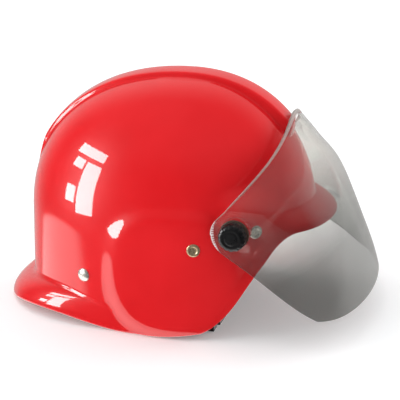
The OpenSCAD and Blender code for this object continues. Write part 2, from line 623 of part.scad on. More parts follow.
module studs(seat, turn) for (side = [-1, 1]) at_band(seat, turn, side) rotate([0, 90, 0]) {
    translate([0, 0, -band_wall - 1.1]) cylinder(r = stud_radius + 1.6, h = 1, $fn = 32);
    translate([0, 0, -band_wall - 0.6]) cylinder(r = stud_radius, h = band_wall + hanger_plate + 1.2, $fn = 32);
    translate([0, 0, hanger_plate + 2 * face_gap]) cylinder(r = stud_radius + 1.6, h = 1, $fn = 32);
}
module band_studs() color("#c9ccd0") {
    studs(front_seat, front_turn);
    studs(rear_seat, rear_turn);
}

// Crown tapes: looped on the hanger's bar, straight to the head's curve and over it to the crown pad
pad_radius = 26;
pad_wall = 4;
crown_end = 80;
module tape_arm(seat, turn) {
    h = pin_place(seat, turn);
    start = [arm_reach(h) - bar_back, h[2]];
    t = oval_share(arm_angle(h), 4);
    head = norm(oval_point(t, 4));
    touch = acos(head / start[0]);
    arc = [for (k = [0 : 16]) let (b = mix(touch, crown_end, k / 16)) [head * cos(b), crown_rise * sin(b)]];
    low = concat([start], arc);
    up = [for (k = [0 : len(low) - 1]) let (
        d = unit(low[min(k + 1, len(low) - 1)] - low[max(k - 1, 0)])) low[k] + tape_wall * [d[1], -d[0]]];
    rotate([0, 0, arm_angle(h)]) rotate([90, 0, 0]) translate([0, 0, -tape_width / 2])
        linear_extrude(tape_width) difference() {
            union() {
                polygon(concat(low, [for (k = [len(up) - 1 : -1 : 0]) up[k]]));
                translate(start) circle(r = bar_radius + soft_gap + tape_wall, $fn = 40);
            }
            translate(start) circle(r = bar_radius + soft_gap, $fn = 40);
        }
}
module tape_arms(seat, turn) color("#d8d3c4") harness() for (side = [-1, 1]) on_side(side) tape_arm(seat, turn);
module crown_tapes_front() tape_arms(front_seat, front_turn);
module crown_tapes_rear() tape_arms(rear_seat, rear_turn);
pad_reach = 90;
function crown_at(r) = crown_rise * sqrt(1 - pow(r / pad_reach, 2)) - soft_gap;
module crown_pad() color("#4a4c50") harness() rotate_extrude($fn = 64) polygon(concat(
    [for (k = [0 : 6]) let (r = pad_radius * k / 6) [r, crown_at(r)]],
    [[pad_radius + 0.8, crown_at(pad_radius) - pad_wall / 2]],
    [for (k = [6 : -1 : 0]) let (r = pad_radius * k / 6) [r, crown_at(r) - pad_wall]]));

// Nape ratchet: two toothed tongues pass above and below a pinion that the knob turns
tooth_module = 1;
pinion_teeth = 12;
pitch_radius = tooth_module * pinion_teeth / 2;
tongue_wall = 1.6;
neck_y = 28;
nape_x = -band_length * sqrt(1 - pow((neck_y + 2) / band_width, 2)) + tongue_wall / 2 + 0.4;
channel = 0.3;
case_half = [19, 14];
case_back = nape_x - 7.8;
cover_wall = 2.6;
case_face = nape_x + tongue_wall / 2 + channel;
slot_half = 10.4;
tongue_half = 9;
tongue_gap = 1;
tongue_tip = 6;
shaft_radius = 3;
nape_knob_radius = 14;
nape_knob_depth = 9;
module nape_case_bores() for (y = [-15, 15]) for (z = [-12.2, 12.2]) translate([0, y, z]) rotate([0, 90, 0]) children();
module nape_housing() color("#26282a") harness() difference() {
    translate([case_back, -case_half[0], -case_half[1]]) cube([case_face - case_back, 2 * case_half[0], 2 * case_half[1]]);
    translate([nape_x - tongue_wall / 2 - channel, -case_half[0] - 1, -slot_half]) cube([10, 2 * case_half[0] + 2, 2 * slot_half]);
    translate([case_back - 1, 0, 0]) rotate([0, 90, 0]) cylinder(r = shaft_radius + fit, h = 12, $fn = 48);
    nape_case_bores() translate([0, 0, case_face - 5]) cylinder(r = 0.8 + fit, h = 8, $fn = 24);
}
module nape_cover() color("#2f3133") harness() difference() {
    translate([case_face + face_gap, -case_half[0], -case_half[1]]) cube([cover_wall, 2 * case_half[0], 2 * case_half[1]]);
    nape_case_bores() translate([0, 0, case_face - 1]) cylinder(r = 0.8 + fit, h = 8, $fn = 24);
    nape_case_bores() translate([0, 0, case_face + cover_wall - 1]) cylinder(r = 1.7, h = 8, $fn = 24);
}
module cover_screws() color("#a8abae") harness() nape_case_bores() {
    translate([0, 0, case_face - 4.6]) cylinder(r = 0.8, h = 4.6 + cover_wall - 0.6, $fn = 24);
    translate([0, 0, case_face + cover_wall - 0.95]) cylinder(r = 1.5, h = 0.9, $fn = 24);
}
// Involute flank of a pinion tooth, from its base circle out to its tip
pressure = 20;
base_radius = pitch_radius * cos(pressure);
tip_radius = pitch_radius + 0.8 * tooth_module;
root_radius = pitch_radius - 1.1 * tooth_module;
backlash = 0.25;
function roll(r) = sqrt(max(0, pow(r / base_radius, 2) - 1)) * 180 / PI;
function involute(r) = roll(r) - atan(roll(r) * PI / 180);
half_tooth = 90 / pinion_teeth - backlash / pitch_radius * 90 / PI;
function flank(r) = half_tooth + involute(pitch_radius) - involute(r);
flank_radii = [root_radius, base_radius, mix(base_radius, tip_radius, 0.3), mix(base_radius, tip_radius, 0.65), tip_radius];
module nape_pinion() color("#c2bda9") harness() {
    translate([nape_x - tongue_wall / 2, 0, 0]) rotate([90, 0, 90]) linear_extrude(tongue_wall)
        polygon([for (k = [0 : pinion_teeth - 1]) let (c = 360 * k / pinion_teeth)
            each concat([for (r = flank_radii) [r * cos(c - flank(r)), r * sin(c - flank(r))]],
                [for (q = [len(flank_radii) - 1 : -1 : 0]) let (r = flank_radii[q]) [r * cos(c + flank(r)), r * sin(c + flank(r))]])]);
    translate([case_back - 6, 0, 0]) rotate([0, 90, 0]) cylinder(r = shaft_radius, h = nape_x - case_back + 6, $fn = 48);
}
nape_flutes = 12;
module nape_knob() color("#1c1d1f") harness() translate([case_back - face_gap, 0, 0]) rotate([0, -90, 0]) difference() {
    rotate_extrude($fn = 72) polygon([[0, 0], [nape_knob_radius - 0.8, 0], [nape_knob_radius, 1],
        [nape_knob_radius, nape_knob_depth - 2], [nape_knob_radius - 1.6, nape_knob_depth], [0, nape_knob_depth]]);
    for (k = [1 : nape_flutes]) rotate([0, 0, 360 * k / nape_flutes])
        translate([nape_knob_radius + 1.4, 0, 2]) cylinder(r = 2.4, h = nape_knob_depth, $fn = 24);
    translate([0, 0, -1]) cylinder(r = shaft_radius + fit, h = 7.2, $fn = 48);
}
// Rack tooth points along y, facing down at the pitch line; a tooth gap stands over the pinion's tooth
function rack_tooth(y) = let (p = PI * tooth_module, s = tan(pressure), w = p / 4 - backlash / 2)
    [[y - w - 1.1 * s, 1.1], [y - w + 0.7 * s, -0.7], [y + w - 0.7 * s, -0.7], [y + w + 1.1 * s, 1.1]];
rack_first = -2;
rack_last = 3;
module tongue() {
    p = PI * tooth_module;
    arc_low = 180 - asin(neck_y / (band_width - tongue_gap));
    arc_high = 180 - asin(44 / (band_width - tongue_gap));
    translate([nape_x - tongue_wall / 2, 0, 0]) rotate([90, 0, 90]) linear_extrude(tongue_wall) polygon(concat(
        [[-tongue_tip, pitch_radius + 1.1]],
        [for (k = [rack_first : rack_last]) each [for (q = rack_tooth((k + 0.5) * p)) [q[0], pitch_radius + q[1]]]],
        [[20, pitch_radius + 1.1], [24, -tongue_half], [neck_y + 1, -tongue_half], [neck_y + 1, tongue_half],
         [-tongue_tip, tongue_half]]));
    translate([0, 0, -tongue_half]) linear_extrude(2 * tongue_half) polygon(concat(
        [[nape_x - tongue_wall / 2, neck_y - 1]],
        [for (k = [0 : 8]) oval_point(mix(arc_low, arc_high, k / 8), -tongue_gap)],
        [for (k = [8 : -1 : 0]) oval_point(mix(arc_low, arc_high, k / 8), -tongue_gap - tongue_wall)],
        [[nape_x + tongue_wall / 2, neck_y - 1]]));
}
module band_tongue_left() color("#3a3c3f") harness() tongue();
module band_tongue_right() color("#3a3c3f") harness() rotate([180, 0, 0]) tongue();

// Chin strap: loops on the pins, hangs down inside the ear covers and lies across the floor
floor_z = 2;
strap_bend = 9;
loop_in = 1.9;
loop_out = loop_in + tape_wall;
loop_z = floor_z + loop_out;
buckle_x = strap_pin[0];
socket_y = [-52, -28];
socket_bar = -60;
plug_bar = -16.8;
pin_loop = pin_radius + soft_gap;
module strap(bar_y) translate([strap_pin[0] - strap_width / 2, 0, 0]) rotate([90, 0, 90]) linear_extrude(strap_width) {
    wall_y = strap_pin[1] - pin_loop;
    difference() {
        translate([strap_pin[1], strap_pin[2]]) circle(r = pin_loop + tape_wall, $fn = 48);
        translate([strap_pin[1], strap_pin[2]]) circle(r = pin_loop, $fn = 48);
    }
    translate([wall_y - tape_wall, floor_z + strap_bend]) square([tape_wall, strap_pin[2] - floor_z - strap_bend]);
    intersection() {
        translate([wall_y - strap_bend, floor_z + strap_bend]) difference() {
            circle(r = strap_bend, $fn = 48);
            circle(r = strap_bend - tape_wall, $fn = 48);
        }
        translate([wall_y - strap_bend, floor_z]) square(strap_bend);
    }
    translate([bar_y, floor_z]) square([wall_y - strap_bend - bar_y, tape_wall]);
    difference() {
        translate([bar_y, loop_z]) circle(r = loop_out, $fn = 48);
        translate([bar_y, loop_z]) circle(r = loop_in, $fn = 48);
    }
}
module chin_strap_left() centred() color("#2b2c2e") strap(plug_bar);
module chin_strap_right() centred() color("#2b2c2e") mirror([0, 1, 0]) strap(-socket_bar);
slider_y = [64, -73];
module strap_sliders() centred() color("#1f2022") for (y = slider_y) translate([buckle_x, y, 0]) difference() {
    translate([-strap_width / 2 - 3, -6, floor_z - 1.6]) cube([strap_width + 6, 12, tape_wall + 3.2]);
    translate([-strap_width / 2 - 0.3, -7, floor_z - soft_gap]) cube([strap_width + 0.6, 14, tape_wall + 2 * soft_gap]);
}
module chin_pad() centred() color("#4a4c50") translate([buckle_x, 0, floor_z + tape_wall + soft_gap]) {
    translate([-10, 2, 0]) cube([20, 50, 5]);
    translate([-15, 7, 0]) cube([30, 40, 5]);
    for (x = [-10, 10]) for (y = [7, 47]) translate([x, y, 0]) cylinder(r = 5, h = 5, $fn = 32);
}
buckle_half = 15;
buckle_low = 0.4;
buckle_high = 10.4;
buckle_wall = 1.6;
prong_gap = 0.4;
module ears(from, to, bar) {
    for (x = [-buckle_half, strap_width / 2 + 0.6]) translate([x, from, buckle_low + 0.4])
        cube([buckle_half - strap_width / 2 - 0.6, to - from, loop_z + 2.8 - buckle_low]);
    translate([-buckle_half, bar, loop_z]) rotate([0, 90, 0]) cylinder(r = loop_in - soft_gap, h = 2 * buckle_half, $fn = 32);
}
module buckle_socket() centred() color("#1f2022") translate([buckle_x, 0, 0]) {
    difference() {
        translate([-buckle_half, socket_y[0], buckle_low]) cube([2 * buckle_half, socket_y[1] - socket_y[0], buckle_high - buckle_low]);
        translate([-buckle_half + 2.4, socket_y[0] + 2, buckle_low + buckle_wall])
            cube([2 * buckle_half - 4.8, 30, buckle_high - buckle_low - 2 * buckle_wall]);
        translate([-buckle_half - 1, socket_y[0] + 5, buckle_low + buckle_wall])
            cube([2 * buckle_half + 2, 9, buckle_high - buckle_low - 2 * buckle_wall]);
    }
    ears(socket_bar - 3, socket_y[0] + 0.01, socket_bar);
}
module buckle_plug() centred() color("#1f2022") translate([buckle_x, 0, 0]) {
    translate([-buckle_half + 1, socket_y[1] + prong_gap, buckle_low + 0.4])
        cube([2 * buckle_half - 2, plug_bar - loop_out - soft_gap - socket_y[1] - prong_gap, buckle_high - buckle_low - 0.8]);
    ears(socket_y[1] + 4, plug_bar + 3, plug_bar);
    for (side = [-1, 1]) {
        translate([side > 0 ? 8 : -11, socket_y[0] + 6, buckle_low + buckle_wall + prong_gap])
            cube([3, socket_y[1] - socket_y[0] - 4, buckle_high - buckle_low - 2 * buckle_wall - 2 * prong_gap]);
        translate([side > 0 ? 9 : -14.2, socket_y[0] + 6, buckle_low + buckle_wall + prong_gap])
            cube([5.2, 7, buckle_high - buckle_low - 2 * buckle_wall - 2 * prong_gap]);
    }
    translate([-2, socket_y[0] + 9, buckle_low + buckle_wall + prong_gap])
        cube([4, socket_y[1] - socket_y[0] - 7, buckle_high - buckle_low - 2 * buckle_wall - 2 * prong_gap]);
}

shell();
visor();
visor_knob_left();
visor_knob_right();
pivot_bolt_left();
pivot_bolt_right();
pivot_bushes();
friction_washers();
spring_washers();
rivets_front();
rivets_middle();
rivets_rear();
anchors_front();
anchors_middle();
anchors_rear();
impact_liner();
headband();
brow_pad();
hangers_front();
hangers_rear();
band_studs();
crown_tapes_front();
crown_tapes_rear();
crown_pad();
nape_housing();
nape_cover();
cover_screws();
nape_knob();
nape_pinion();
band_tongue_left();
band_tongue_right();
chin_strap_left();
chin_strap_right();
strap_sliders();
chin_pad();
buckle_socket();
buckle_plug();
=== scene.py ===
# %% [markdown]
# # A fire helmet, dressed piece by piece
# The CAD model is the frame: it says where every piece is and how it moves. This script gives the pieces
# their fine surfaces, seams and finishes, in metres and in the CAD's own frame.

# %% Load the frame
import math

import bpy
import numpy as np
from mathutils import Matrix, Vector


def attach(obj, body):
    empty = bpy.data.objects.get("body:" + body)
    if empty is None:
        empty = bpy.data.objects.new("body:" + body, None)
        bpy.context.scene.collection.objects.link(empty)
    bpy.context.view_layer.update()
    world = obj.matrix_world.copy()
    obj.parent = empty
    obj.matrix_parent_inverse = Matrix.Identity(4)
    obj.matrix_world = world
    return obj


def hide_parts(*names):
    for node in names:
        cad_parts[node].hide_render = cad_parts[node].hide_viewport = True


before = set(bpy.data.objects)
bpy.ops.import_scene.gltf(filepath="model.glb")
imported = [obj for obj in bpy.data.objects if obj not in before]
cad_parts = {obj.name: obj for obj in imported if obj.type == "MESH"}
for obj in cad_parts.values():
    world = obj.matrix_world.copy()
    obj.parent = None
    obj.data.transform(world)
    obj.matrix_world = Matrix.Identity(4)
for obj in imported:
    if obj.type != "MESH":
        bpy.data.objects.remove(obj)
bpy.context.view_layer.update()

# %% [markdown]
# The shapes below are worked out in millimetres, as on the drawing, and turned to metres for each mesh.
# CENTRE_X moves a drawing point into the frame, whose origin is under the middle of the helmet.

# %% Small helpers for numbers
MM = 0.001
CENTRE_X = 0.3


def smooth(u):
    """An S-curve from 0 to 1."""
    u = np.clip(u, 0, 1)
    return u * u * (3 - 2 * u)


def mix(a, b, t):
    return a + (b - a) * t


def unit(v):
    return v / np.maximum(np.linalg.norm(v, axis=-1, keepdims=True), 1e-12)


def xyz(*parts):
    """Points made of their coordinates."""
    return np.stack(np.broadcast_arrays(*parts), axis=-1)


def circle(turn):
    """Points of the unit circle at angles in radians."""
    return xyz(np.cos(turn), np.sin(turn))


def to_frame(points):
    """Drawing millimetres to metres in the row frame."""
    return (np.asarray(points, float) - [CENTRE_X, 0, 0]) * MM


# %% [markdown]
# Most pieces are grids of quads. A grid that closes round an axis gets a fan of triangles at each end.

# %% Small helpers for meshes
def grid_faces(columns, rows, closed=False):
    """Quads of a grid whose vertices run row by row within each column."""
    last = columns if closed else columns - 1
    i, j = np.meshgrid(np.arange(last), np.arange(rows - 1), indexing="ij")
    a = i * rows + j
    b = ((i + 1) % columns) * rows + j
    return np.stack([a, b, b + 1, a + 1], axis=-1).reshape(-1, 4).tolist()


def round_faces(columns, rows):
    """Faces of a closed grid and its two fans, whose middle points follow the grid's points."""
    faces = grid_faces(columns, rows, closed=True)
    pole = columns * rows
    for i in range(columns):
        after = (i + 1) % columns
        faces.append([pole, after * rows, i * rows])
        faces.append([pole + 1, i * rows + rows - 1, after * rows + rows - 1])
    return faces


def new_object(name, data):
    made = bpy.data.objects.new(name, data)
    bpy.context.scene.collection.objects.link(made)
    return made


def new_mesh(name, points, faces=()):
    mesh = bpy.data.meshes.new(name)
    mesh.from_pydata([tuple(p) for p in np.asarray(points).reshape(-1, 3)], [], faces)
    return mesh


def vertices_of(mesh):
    places = np.empty(len(mesh.vertices) * 3)
    mesh.vertices.foreach_get("co", places)
    return places.reshape(-1, 3)


def face_outwards(mesh):
    """Turns every face over if the closed mesh holds a negative volume."""
    mesh.calc_loop_triangles()
    corners = np.empty(len(mesh.loop_triangles) * 3, int)
    mesh.loop_triangles.foreach_get("vertices", corners)
    a, b, c = vertices_of(mesh)[corners].reshape(-1, 3, 3).transpose(1, 0, 2)
    if np.einsum("ij,ij->", a, np.cross(b, c)) < 0:
        mesh.flip_normals()


def make_piece(name, points, faces, finish, uv=None):
    """A smooth mesh object at the origin from row frame points."""
    mesh = new_mesh(name, points, faces)
    mesh.materials.append(finish.material)
    if uv is not None:
        layer = mesh.uv_layers.new(name="UVMap")
        corner = np.empty(len(mesh.loops), int)
        mesh.loops.foreach_get("vertex_index", corner)
        layer.data.foreach_set("uv", np.asarray(uv, np.float32)[corner].ravel())
    mesh.shade_smooth()
    mesh.validate()
    face_outwards(mesh)
    return new_object(name, mesh)


def hand_over(piece, node, body, slot):
    """Says which CAD node the piece stands for and which body it rides on. slot, the finish slot it fills,
    is not used.
    """
    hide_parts(node)
    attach(piece, body)
    bpy.context.view_layer.update()
    size = np.array(piece.dimensions) / MM
    print(f"{piece.name}: {len(piece.data.polygons)} faces, {size.round(1)} mm")


# %% [markdown]
# Every finish is a node tree. One function turns a hex colour, as a painter would name it, into Blender's
# linear light, and one adds a node with its values and its links. Patterns are scaled from real sizes.

# %% Helpers for node trees
def colour(code):
    """Linear RGBA of an sRGB hex code."""
    parts = [int(code[k : k + 2], 16) / 255 for k in (1, 3, 5)]
    return [p / 12.92 if p <= 0.04045 else ((p + 0.055) / 1.055) ** 2.4 for p in parts] + [1.0]


def add(tree, kind, values=None, links=None, **settings):
    """Adds a node, sets its options and input values, and links its inputs from other nodes' sockets."""
    node = tree.nodes.new(kind)
    for name, value in settings.items():
        setattr(node, name, value)
    for key, value in (values or {}).items():
        node.inputs[key].default_value = value
    for key, source in (links or {}).items():
        tree.links.new(source, node.inputs[key])
    return node


def maths(tree, operation, *terms):
    """One step of arithmetic; each term is a socket or a number."""
    values = {i: v for i, v in enumerate(terms) if isinstance(v, (int, float))}
    links = {i: v for i, v in enumerate(terms) if i not in values}
    return add(tree, "ShaderNodeMath", values, links, operation=operation).outputs[0]


# %% A finish and what feeds it
class Finish:
    """A material with one Principled shader."""

    def __init__(self, name, **values):
        self.material = bpy.data.materials.new(name)
        self.material.use_nodes = True
        self.tree = self.material.node_tree
        self.tree.nodes.clear()
        self.shader = self.add("ShaderNodeBsdfPrincipled", values)
        self.output = self.add("ShaderNodeOutputMaterial", links={"Surface": self.shader.outputs[0]})
        self.place = self.add("ShaderNodeTexCoord").outputs
        print("finish:", name)

    def add(self, kind, values=None, links=None, **settings):
        return add(self.tree, kind, values, links, **settings)

    def grain(self, size_mm, detail=3.0, roughness=0.5):
        """Noise whose blobs are about size_mm across; its value is near 0.5."""
        values = {"Scale": 1 / (size_mm * MM), "Detail": detail, "Roughness": roughness}
        return self.add("ShaderNodeTexNoise", values, {"Vector": self.place["Object"]}).outputs["Fac"]

    def cells(self, size_mm, top, randomness=1.0):
        """Raised cells about size_mm wide: 0 in the grooves, 1 from top on."""
        values = {"Scale": 1 / (size_mm * MM), "Randomness": randomness}
        node = self.add("ShaderNodeTexVoronoi", values, {"Vector": self.place["Object"]},
                        feature="DISTANCE_TO_EDGE")
        return self.spread(node.outputs["Distance"], 0, 1, 0.0, top)

    def spread(self, source, low, high, start=0.3, end=0.7):
        """A number that runs from low to high as source runs from start to end."""
        return self.add("ShaderNodeMapRange", {1: start, 2: end, 3: low, 4: high}, {0: source}).outputs[0]

    def paint(self, source, dark, light, start=0.3, end=0.7):
        """Colours the surface between two hex codes, by source."""
        ramp = self.add("ShaderNodeValToRGB", links={"Fac": source})
        low, high = ramp.color_ramp.elements
        low.position, low.color = start, colour(dark)
        high.position, high.color = end, colour(light)
        self.tree.links.new(ramp.outputs["Color"], self.shader.inputs["Base Color"])

    def roughen(self, size_mm, low, high):
        """Lets the roughness run from low to high in blobs of size_mm."""
        self.tree.links.new(self.spread(self.grain(size_mm), low, high), self.shader.inputs["Roughness"])

    def bump(self, height, depth_mm, strength):
        """Raises the surface by height times depth_mm."""
        values = {"Strength": strength, "Distance": depth_mm * MM}
        node = self.add("ShaderNodeBump", values, {"Height": height})
        self.tree.links.new(node.outputs[0], self.shader.inputs["Normal"])


# %% [markdown]
# The shell is one moulding of ABS, pigmented through and polished by its steel mould: a hard gloss with
# the faint waviness of a thick moulding. A coat on the shader gives the sharp highlight over the colour.

# %% Shell finish: moulded glossy ABS
abs_red = Finish("moulded_abs_red", Roughness=0.32, **{
    "Coat Weight": 1.0, "Coat Roughness": 0.035, "Coat IOR": 1.5, "Specular IOR Level": 0.12})
abs_red.paint(abs_red.grain(55, 2), "#e2131a", "#ea1a21")
waves, pores = abs_red.grain(9, 1), abs_red.grain(0.9, 2)
abs_red.bump(maths(abs_red.tree, "MULTIPLY_ADD", pores, 0.08, waves), 0.05, 0.5)
abs_red.roughen(3, 0.28, 0.4)

# %% [markdown]
# The visor is a bent sheet of polycarbonate, 2.2 mm thick. Glass with the right index bends what is behind
# it a little and mirrors the room at grazing angles. Lamps shine through it: for shadow rays the sheet is
# transparent. Its smoke tint is deepest at the lower front edge and lightest over the ears; the deepening
# towards the lower edge is painted shade for the shadowed floor seen through the sheet. The sawn edge and
# the rounded bead along the rim are rough and painted pale: a painted highlight for the light the rim
# catches.
# Pale ticks at the ear's teeth are painted glints.

# %% Visor finishes: tinted sheet with painted shade, cut edge with painted highlight, scored teeth with painted glints
SHEET_IOR = 1.585
TINT_AND_SHADE_SLANT, TINT_AND_SHADE_LOW, TINT_AND_SHADE_HIGH = 0.5, 8, 102
polycarbonate = Finish("clear_polycarbonate", Roughness=0.015, **{
    "IOR": SHEET_IOR, "Transmission Weight": 0.988, "Specular IOR Level": 0.5})
tree = polycarbonate.tree
split = polycarbonate.add("ShaderNodeSeparateXYZ", links={0: polycarbonate.place["Object"]}).outputs
slanted = maths(tree, "MULTIPLY_ADD", split["X"], -TINT_AND_SHADE_SLANT, split["Z"])
level = polycarbonate.spread(slanted, 0, 1, TINT_AND_SHADE_LOW * MM, TINT_AND_SHADE_HIGH * MM)
# Darker towards the lower front edge: a light smoke tint, deepened there as painted shade for the shadowed
# floor seen through the sheet.
polycarbonate.paint(level, "#9a9b98", "#f1f0ec", 0, 1)
polycarbonate.bump(polycarbonate.grain(18, 1), 0.05, 0.25)
clear = polycarbonate.add("ShaderNodeBsdfTransparent", {"Color": colour("#e4e8e8")})
is_shadow = polycarbonate.add("ShaderNodeLightPath").outputs["Is Shadow Ray"]
either = polycarbonate.add("ShaderNodeMixShader", links={
    0: is_shadow, 1: polycarbonate.shader.outputs[0], 2: clear.outputs[0]})
tree.links.new(either.outputs[0], polycarbonate.output.inputs["Surface"])
# The sawn edge is rough; its pale colour, also on the bead's faces along the rim, is a painted highlight
# for the light the rim catches.
cut_edge_and_highlight = Finish("sawn_edge_with_painted_highlight", Roughness=0.3, **{
    "IOR": SHEET_IOR, "Transmission Weight": 0.72})
cut_edge_and_highlight.paint(cut_edge_and_highlight.grain(2.5), "#cfc8c2", "#e8e2dc")
# Nearly white: the band along the ear's rear edge is painted pale, and the ticks at its teeth are painted
# glints.
frosted_band_and_glints = Finish("scored_teeth_with_painted_glints", Roughness=0.45, **{
    "IOR": SHEET_IOR, "Transmission Weight": 0.1})
frosted_band_and_glints.paint(frosted_band_and_glints.grain(1.2), "#e2c9c6", "#ffffff")

# %% [markdown]
# The metal parts: rivets of nickel-plated brass, the middle pair showing the yellow metal at their worn
# rims, and zinc-plated steel for bolts, anchors and springs. A metal's colour is its reflection, so only
# roughness and a little colour change along the surface. A dull film from handling scatters some light.

# %% Metal finishes
def plated(name, dark, light, rough_low, rough_high):
    made = Finish(name, Metallic=0.72)
    spots = made.grain(0.8, 4, 0.6)
    made.paint(spots, dark, light)
    made.roughen(2.4, rough_low, rough_high)
    made.bump(spots, 0.02, 0.4)
    return made


nickel = plated("nickel_plated_brass", "#c9c5bb", "#eceae4", 0.2, 0.36)
brass = plated("worn_brass", "#a48f6c", "#d9c8a4", 0.24, 0.4)
steel = plated("zinc_plated_steel", "#8f9294", "#b3b6b8", 0.28, 0.45)

# %% [markdown]
# Moulded plastics differ in colour, in the fine spark-eroded texture of their mould, and in shine.

# %% Moulded plastic finishes
def moulded(name, dark, light, rough, texture_mm, depth_mm):
    made = Finish(name, IOR=1.5)
    made.paint(made.grain(12, 2), dark, light)
    made.roughen(4, rough - 0.05, rough + 0.07)
    made.bump(made.grain(texture_mm, 2), depth_mm, 0.6)
    return made


knob_nylon = moulded("black_moulded_nylon", "#0c0c0e", "#161618", 0.3, 0.5, 0.04)
band_plastic = moulded("black_polyethylene_band", "#17181a", "#202224", 0.42, 0.7, 0.05)
buckle_acetal = moulded("black_acetal", "#101113", "#191a1c", 0.26, 0.6, 0.03)
natural_nylon = moulded("natural_nylon", "#cfcbb9", "#e0dccb", 0.35, 0.8, 0.03)
fibre = moulded("red_brown_fibre", "#5e4636", "#77594a", 0.65, 0.35, 0.08)

# %% [markdown]
# The impact liner is expanded foam: beads a few millimetres wide, fused in a mould, with a dull skin and a
# thin groove between the beads, painted darker as painted shade. The chin pad's leather has finer cells of
# the same kind: its pebbles, with painted shade in the creases between them.

# %% Foam and leather finishes
liner_foam = Finish("expanded_bead_foam", Roughness=0.82, **{"Specular IOR Level": 0.3})
beads_with_groove_shade = liner_foam.cells(4.5, 0.22)
# Darkest in the grooves between the beads: painted shade.
liner_foam.paint(beads_with_groove_shade, "#141415", "#2a2b2d", 0.1, 0.9)
liner_foam.bump(beads_with_groove_shade, 0.35, 0.6)
leather = Finish("black_grained_leather", Roughness=0.5, **{"Specular IOR Level": 0.4})
pebbles_with_crease_shade = leather.cells(1.3, 0.25, 0.9)
# Darkest in the creases between the pebbles: painted shade.
leather.paint(pebbles_with_crease_shade, "#15110f", "#262120", 0, 0.8)
leather.bump(pebbles_with_crease_shade, 0.12, 0.7)

# %% [markdown]
# Webbing and pad covers are woven or knitted, so their pattern follows the piece: it reads the UV map,
# which is in metres along and across. Two crossed waves are the warp and weft, at the yarns' spacing.

# %% Woven finishes
def woven(name, dark, light, along_mm, across_mm, depth_mm, rough=0.8, sheen=0.25):
    made = Finish(name, Roughness=rough, **{
        "Sheen Weight": sheen, "Sheen Roughness": 0.4, "Specular IOR Level": 0.25})
    split = made.add("ShaderNodeSeparateXYZ", links={0: made.place["UV"]}).outputs
    waves = []
    for socket, step in (("X", across_mm), ("Y", along_mm)):
        turns = maths(made.tree, "MULTIPLY", split[socket], 2 * math.pi / (step * MM))
        waves.append(maths(made.tree, "SINE", turns))
    weave = maths(made.tree, "MULTIPLY", *waves)
    fuzz = maths(made.tree, "MULTIPLY_ADD", made.grain(0.6), 0.6, weave)
    made.paint(made.spread(fuzz, 0, 1, -0.7, 1.3), dark, light, 0, 1)
    made.bump(fuzz, depth_mm, 0.7)
    return made


tape_weave = woven("natural_polyester_webbing", "#b5ad98", "#ded8c6", 1.6, 1.2, 0.12)
strap_weave = woven("black_polyester_webbing", "#0e0e10", "#2a2a2d", 1.8, 1.3, 0.14)
pad_knit = woven("grey_spacer_knit", "#2a2c2f", "#4c4f53", 2.4, 2.4, 0.25, 0.9, 0.4)
thread = woven("bonded_polyester_thread", "#5a5c60", "#8e9094", 0.8, 0.8, 0.05, 0.6)
pale_thread = woven("pale_polyester_thread", "#8d8778", "#b8b2a0", 0.8, 0.8, 0.05, 0.6)

# %% [markdown]
# ## The shell
# The helmet's outside follows a rule: seen from above, the dome is a soft oval; going down, each level
# shrinks or flares; the side swells into an ear cover; a raised crest runs along the middle. The CAD solid
# is made from the same rule with few, flat facets. Here it is sampled finely, so the gloss runs unbroken.

# %% Dome, edge, flare and ear cover
DOME_FRONT, DOME_REAR, DOME_HALF = 117, 152, 104
DOME_LEVEL, DOME_TOP = 89, 222
SHELL_WALL = 3
PEAK_REACH, PEAK_HEIGHT, BRIM_REACH = 18.5, 96, 21
BRIM_DROP, PEAK_DROP = 21, 16
EAR_SWELL = 4.5
PIVOT_X, PIVOT_Z = 64, 106.4
BOSS_FACE, BOSS_RADIUS, BOSS_SKIRT = 100.8, 14, 8.5
FOOT_FACE, FOOT_RADIUS, FOOT_REACH = 94.5, 8, 38


def frontness(a):
    """1 towards the front and 0 towards the rear, at angles a from the front in radians."""
    return 0.5 + 0.5 * np.clip(1.6 * np.cos(a), -1, 1)


def rise_power(a):
    return mix(2.14, 2.08, frontness(a))


def plan_radius(a):
    """The dome's reach at its widest level."""
    power = mix(2.05, 1.9, frontness(a))
    length = np.where(np.cos(a) > 0, DOME_FRONT, DOME_REAR)
    reach = (np.abs(np.cos(a)) / length) ** power + (np.abs(np.sin(a)) / DOME_HALF) ** power
    return reach ** (-1 / power)


def dome_share(a, z):
    """How much of its widest reach the dome keeps at a height."""
    power = rise_power(a)
    t = np.clip((z - DOME_LEVEL) / (DOME_TOP - DOME_LEVEL), 0, 1)
    return (1 - t**power) ** (1 / power)


def edge_height(a):
    """Height of the shell's edge: the peak, a swelling behind its root, and an arch over the nape."""
    d = np.degrees(a)
    peak = PEAK_HEIGHT * smooth((73 - d) / 47)
    swelling = 7 * smooth((d - 52) / 18) * smooth((100 - d) / 40)
    return peak + swelling + 9 * np.sin(np.pi * np.clip((d - 112) / 68, 0, 1)) ** 2


def front_flare(a):
    """1 for the peak and 0 for the brim."""
    return smooth((100 - np.degrees(a)) / 60)


def flare_height(a):
    """How far above the edge the flare begins."""
    return mix(BRIM_DROP, PEAK_DROP, front_flare(a))


def flare_out(a, u):
    """How far peak and brim reach out, at share u of the flare."""
    d = np.degrees(a)
    reach = BRIM_REACH * smooth((d - 112) / 52) + PEAK_REACH * smooth((64 - d) / 52)
    bend = np.sin(np.pi / 2 * u ** mix(0.75, 0.9, front_flare(a)))
    return reach * bend ** mix(1, 1.35, front_flare(a))


def ear_swell(x, z):
    """How far the ear cover stands out, as a rounded patch on the side."""
    e = ((np.abs(x - 6) / 62) ** 2.6 + (np.abs(z - 62) / 60) ** 2.6) ** (1 / 2.6)
    return EAR_SWELL * smooth((1.12 - e) / 0.28)


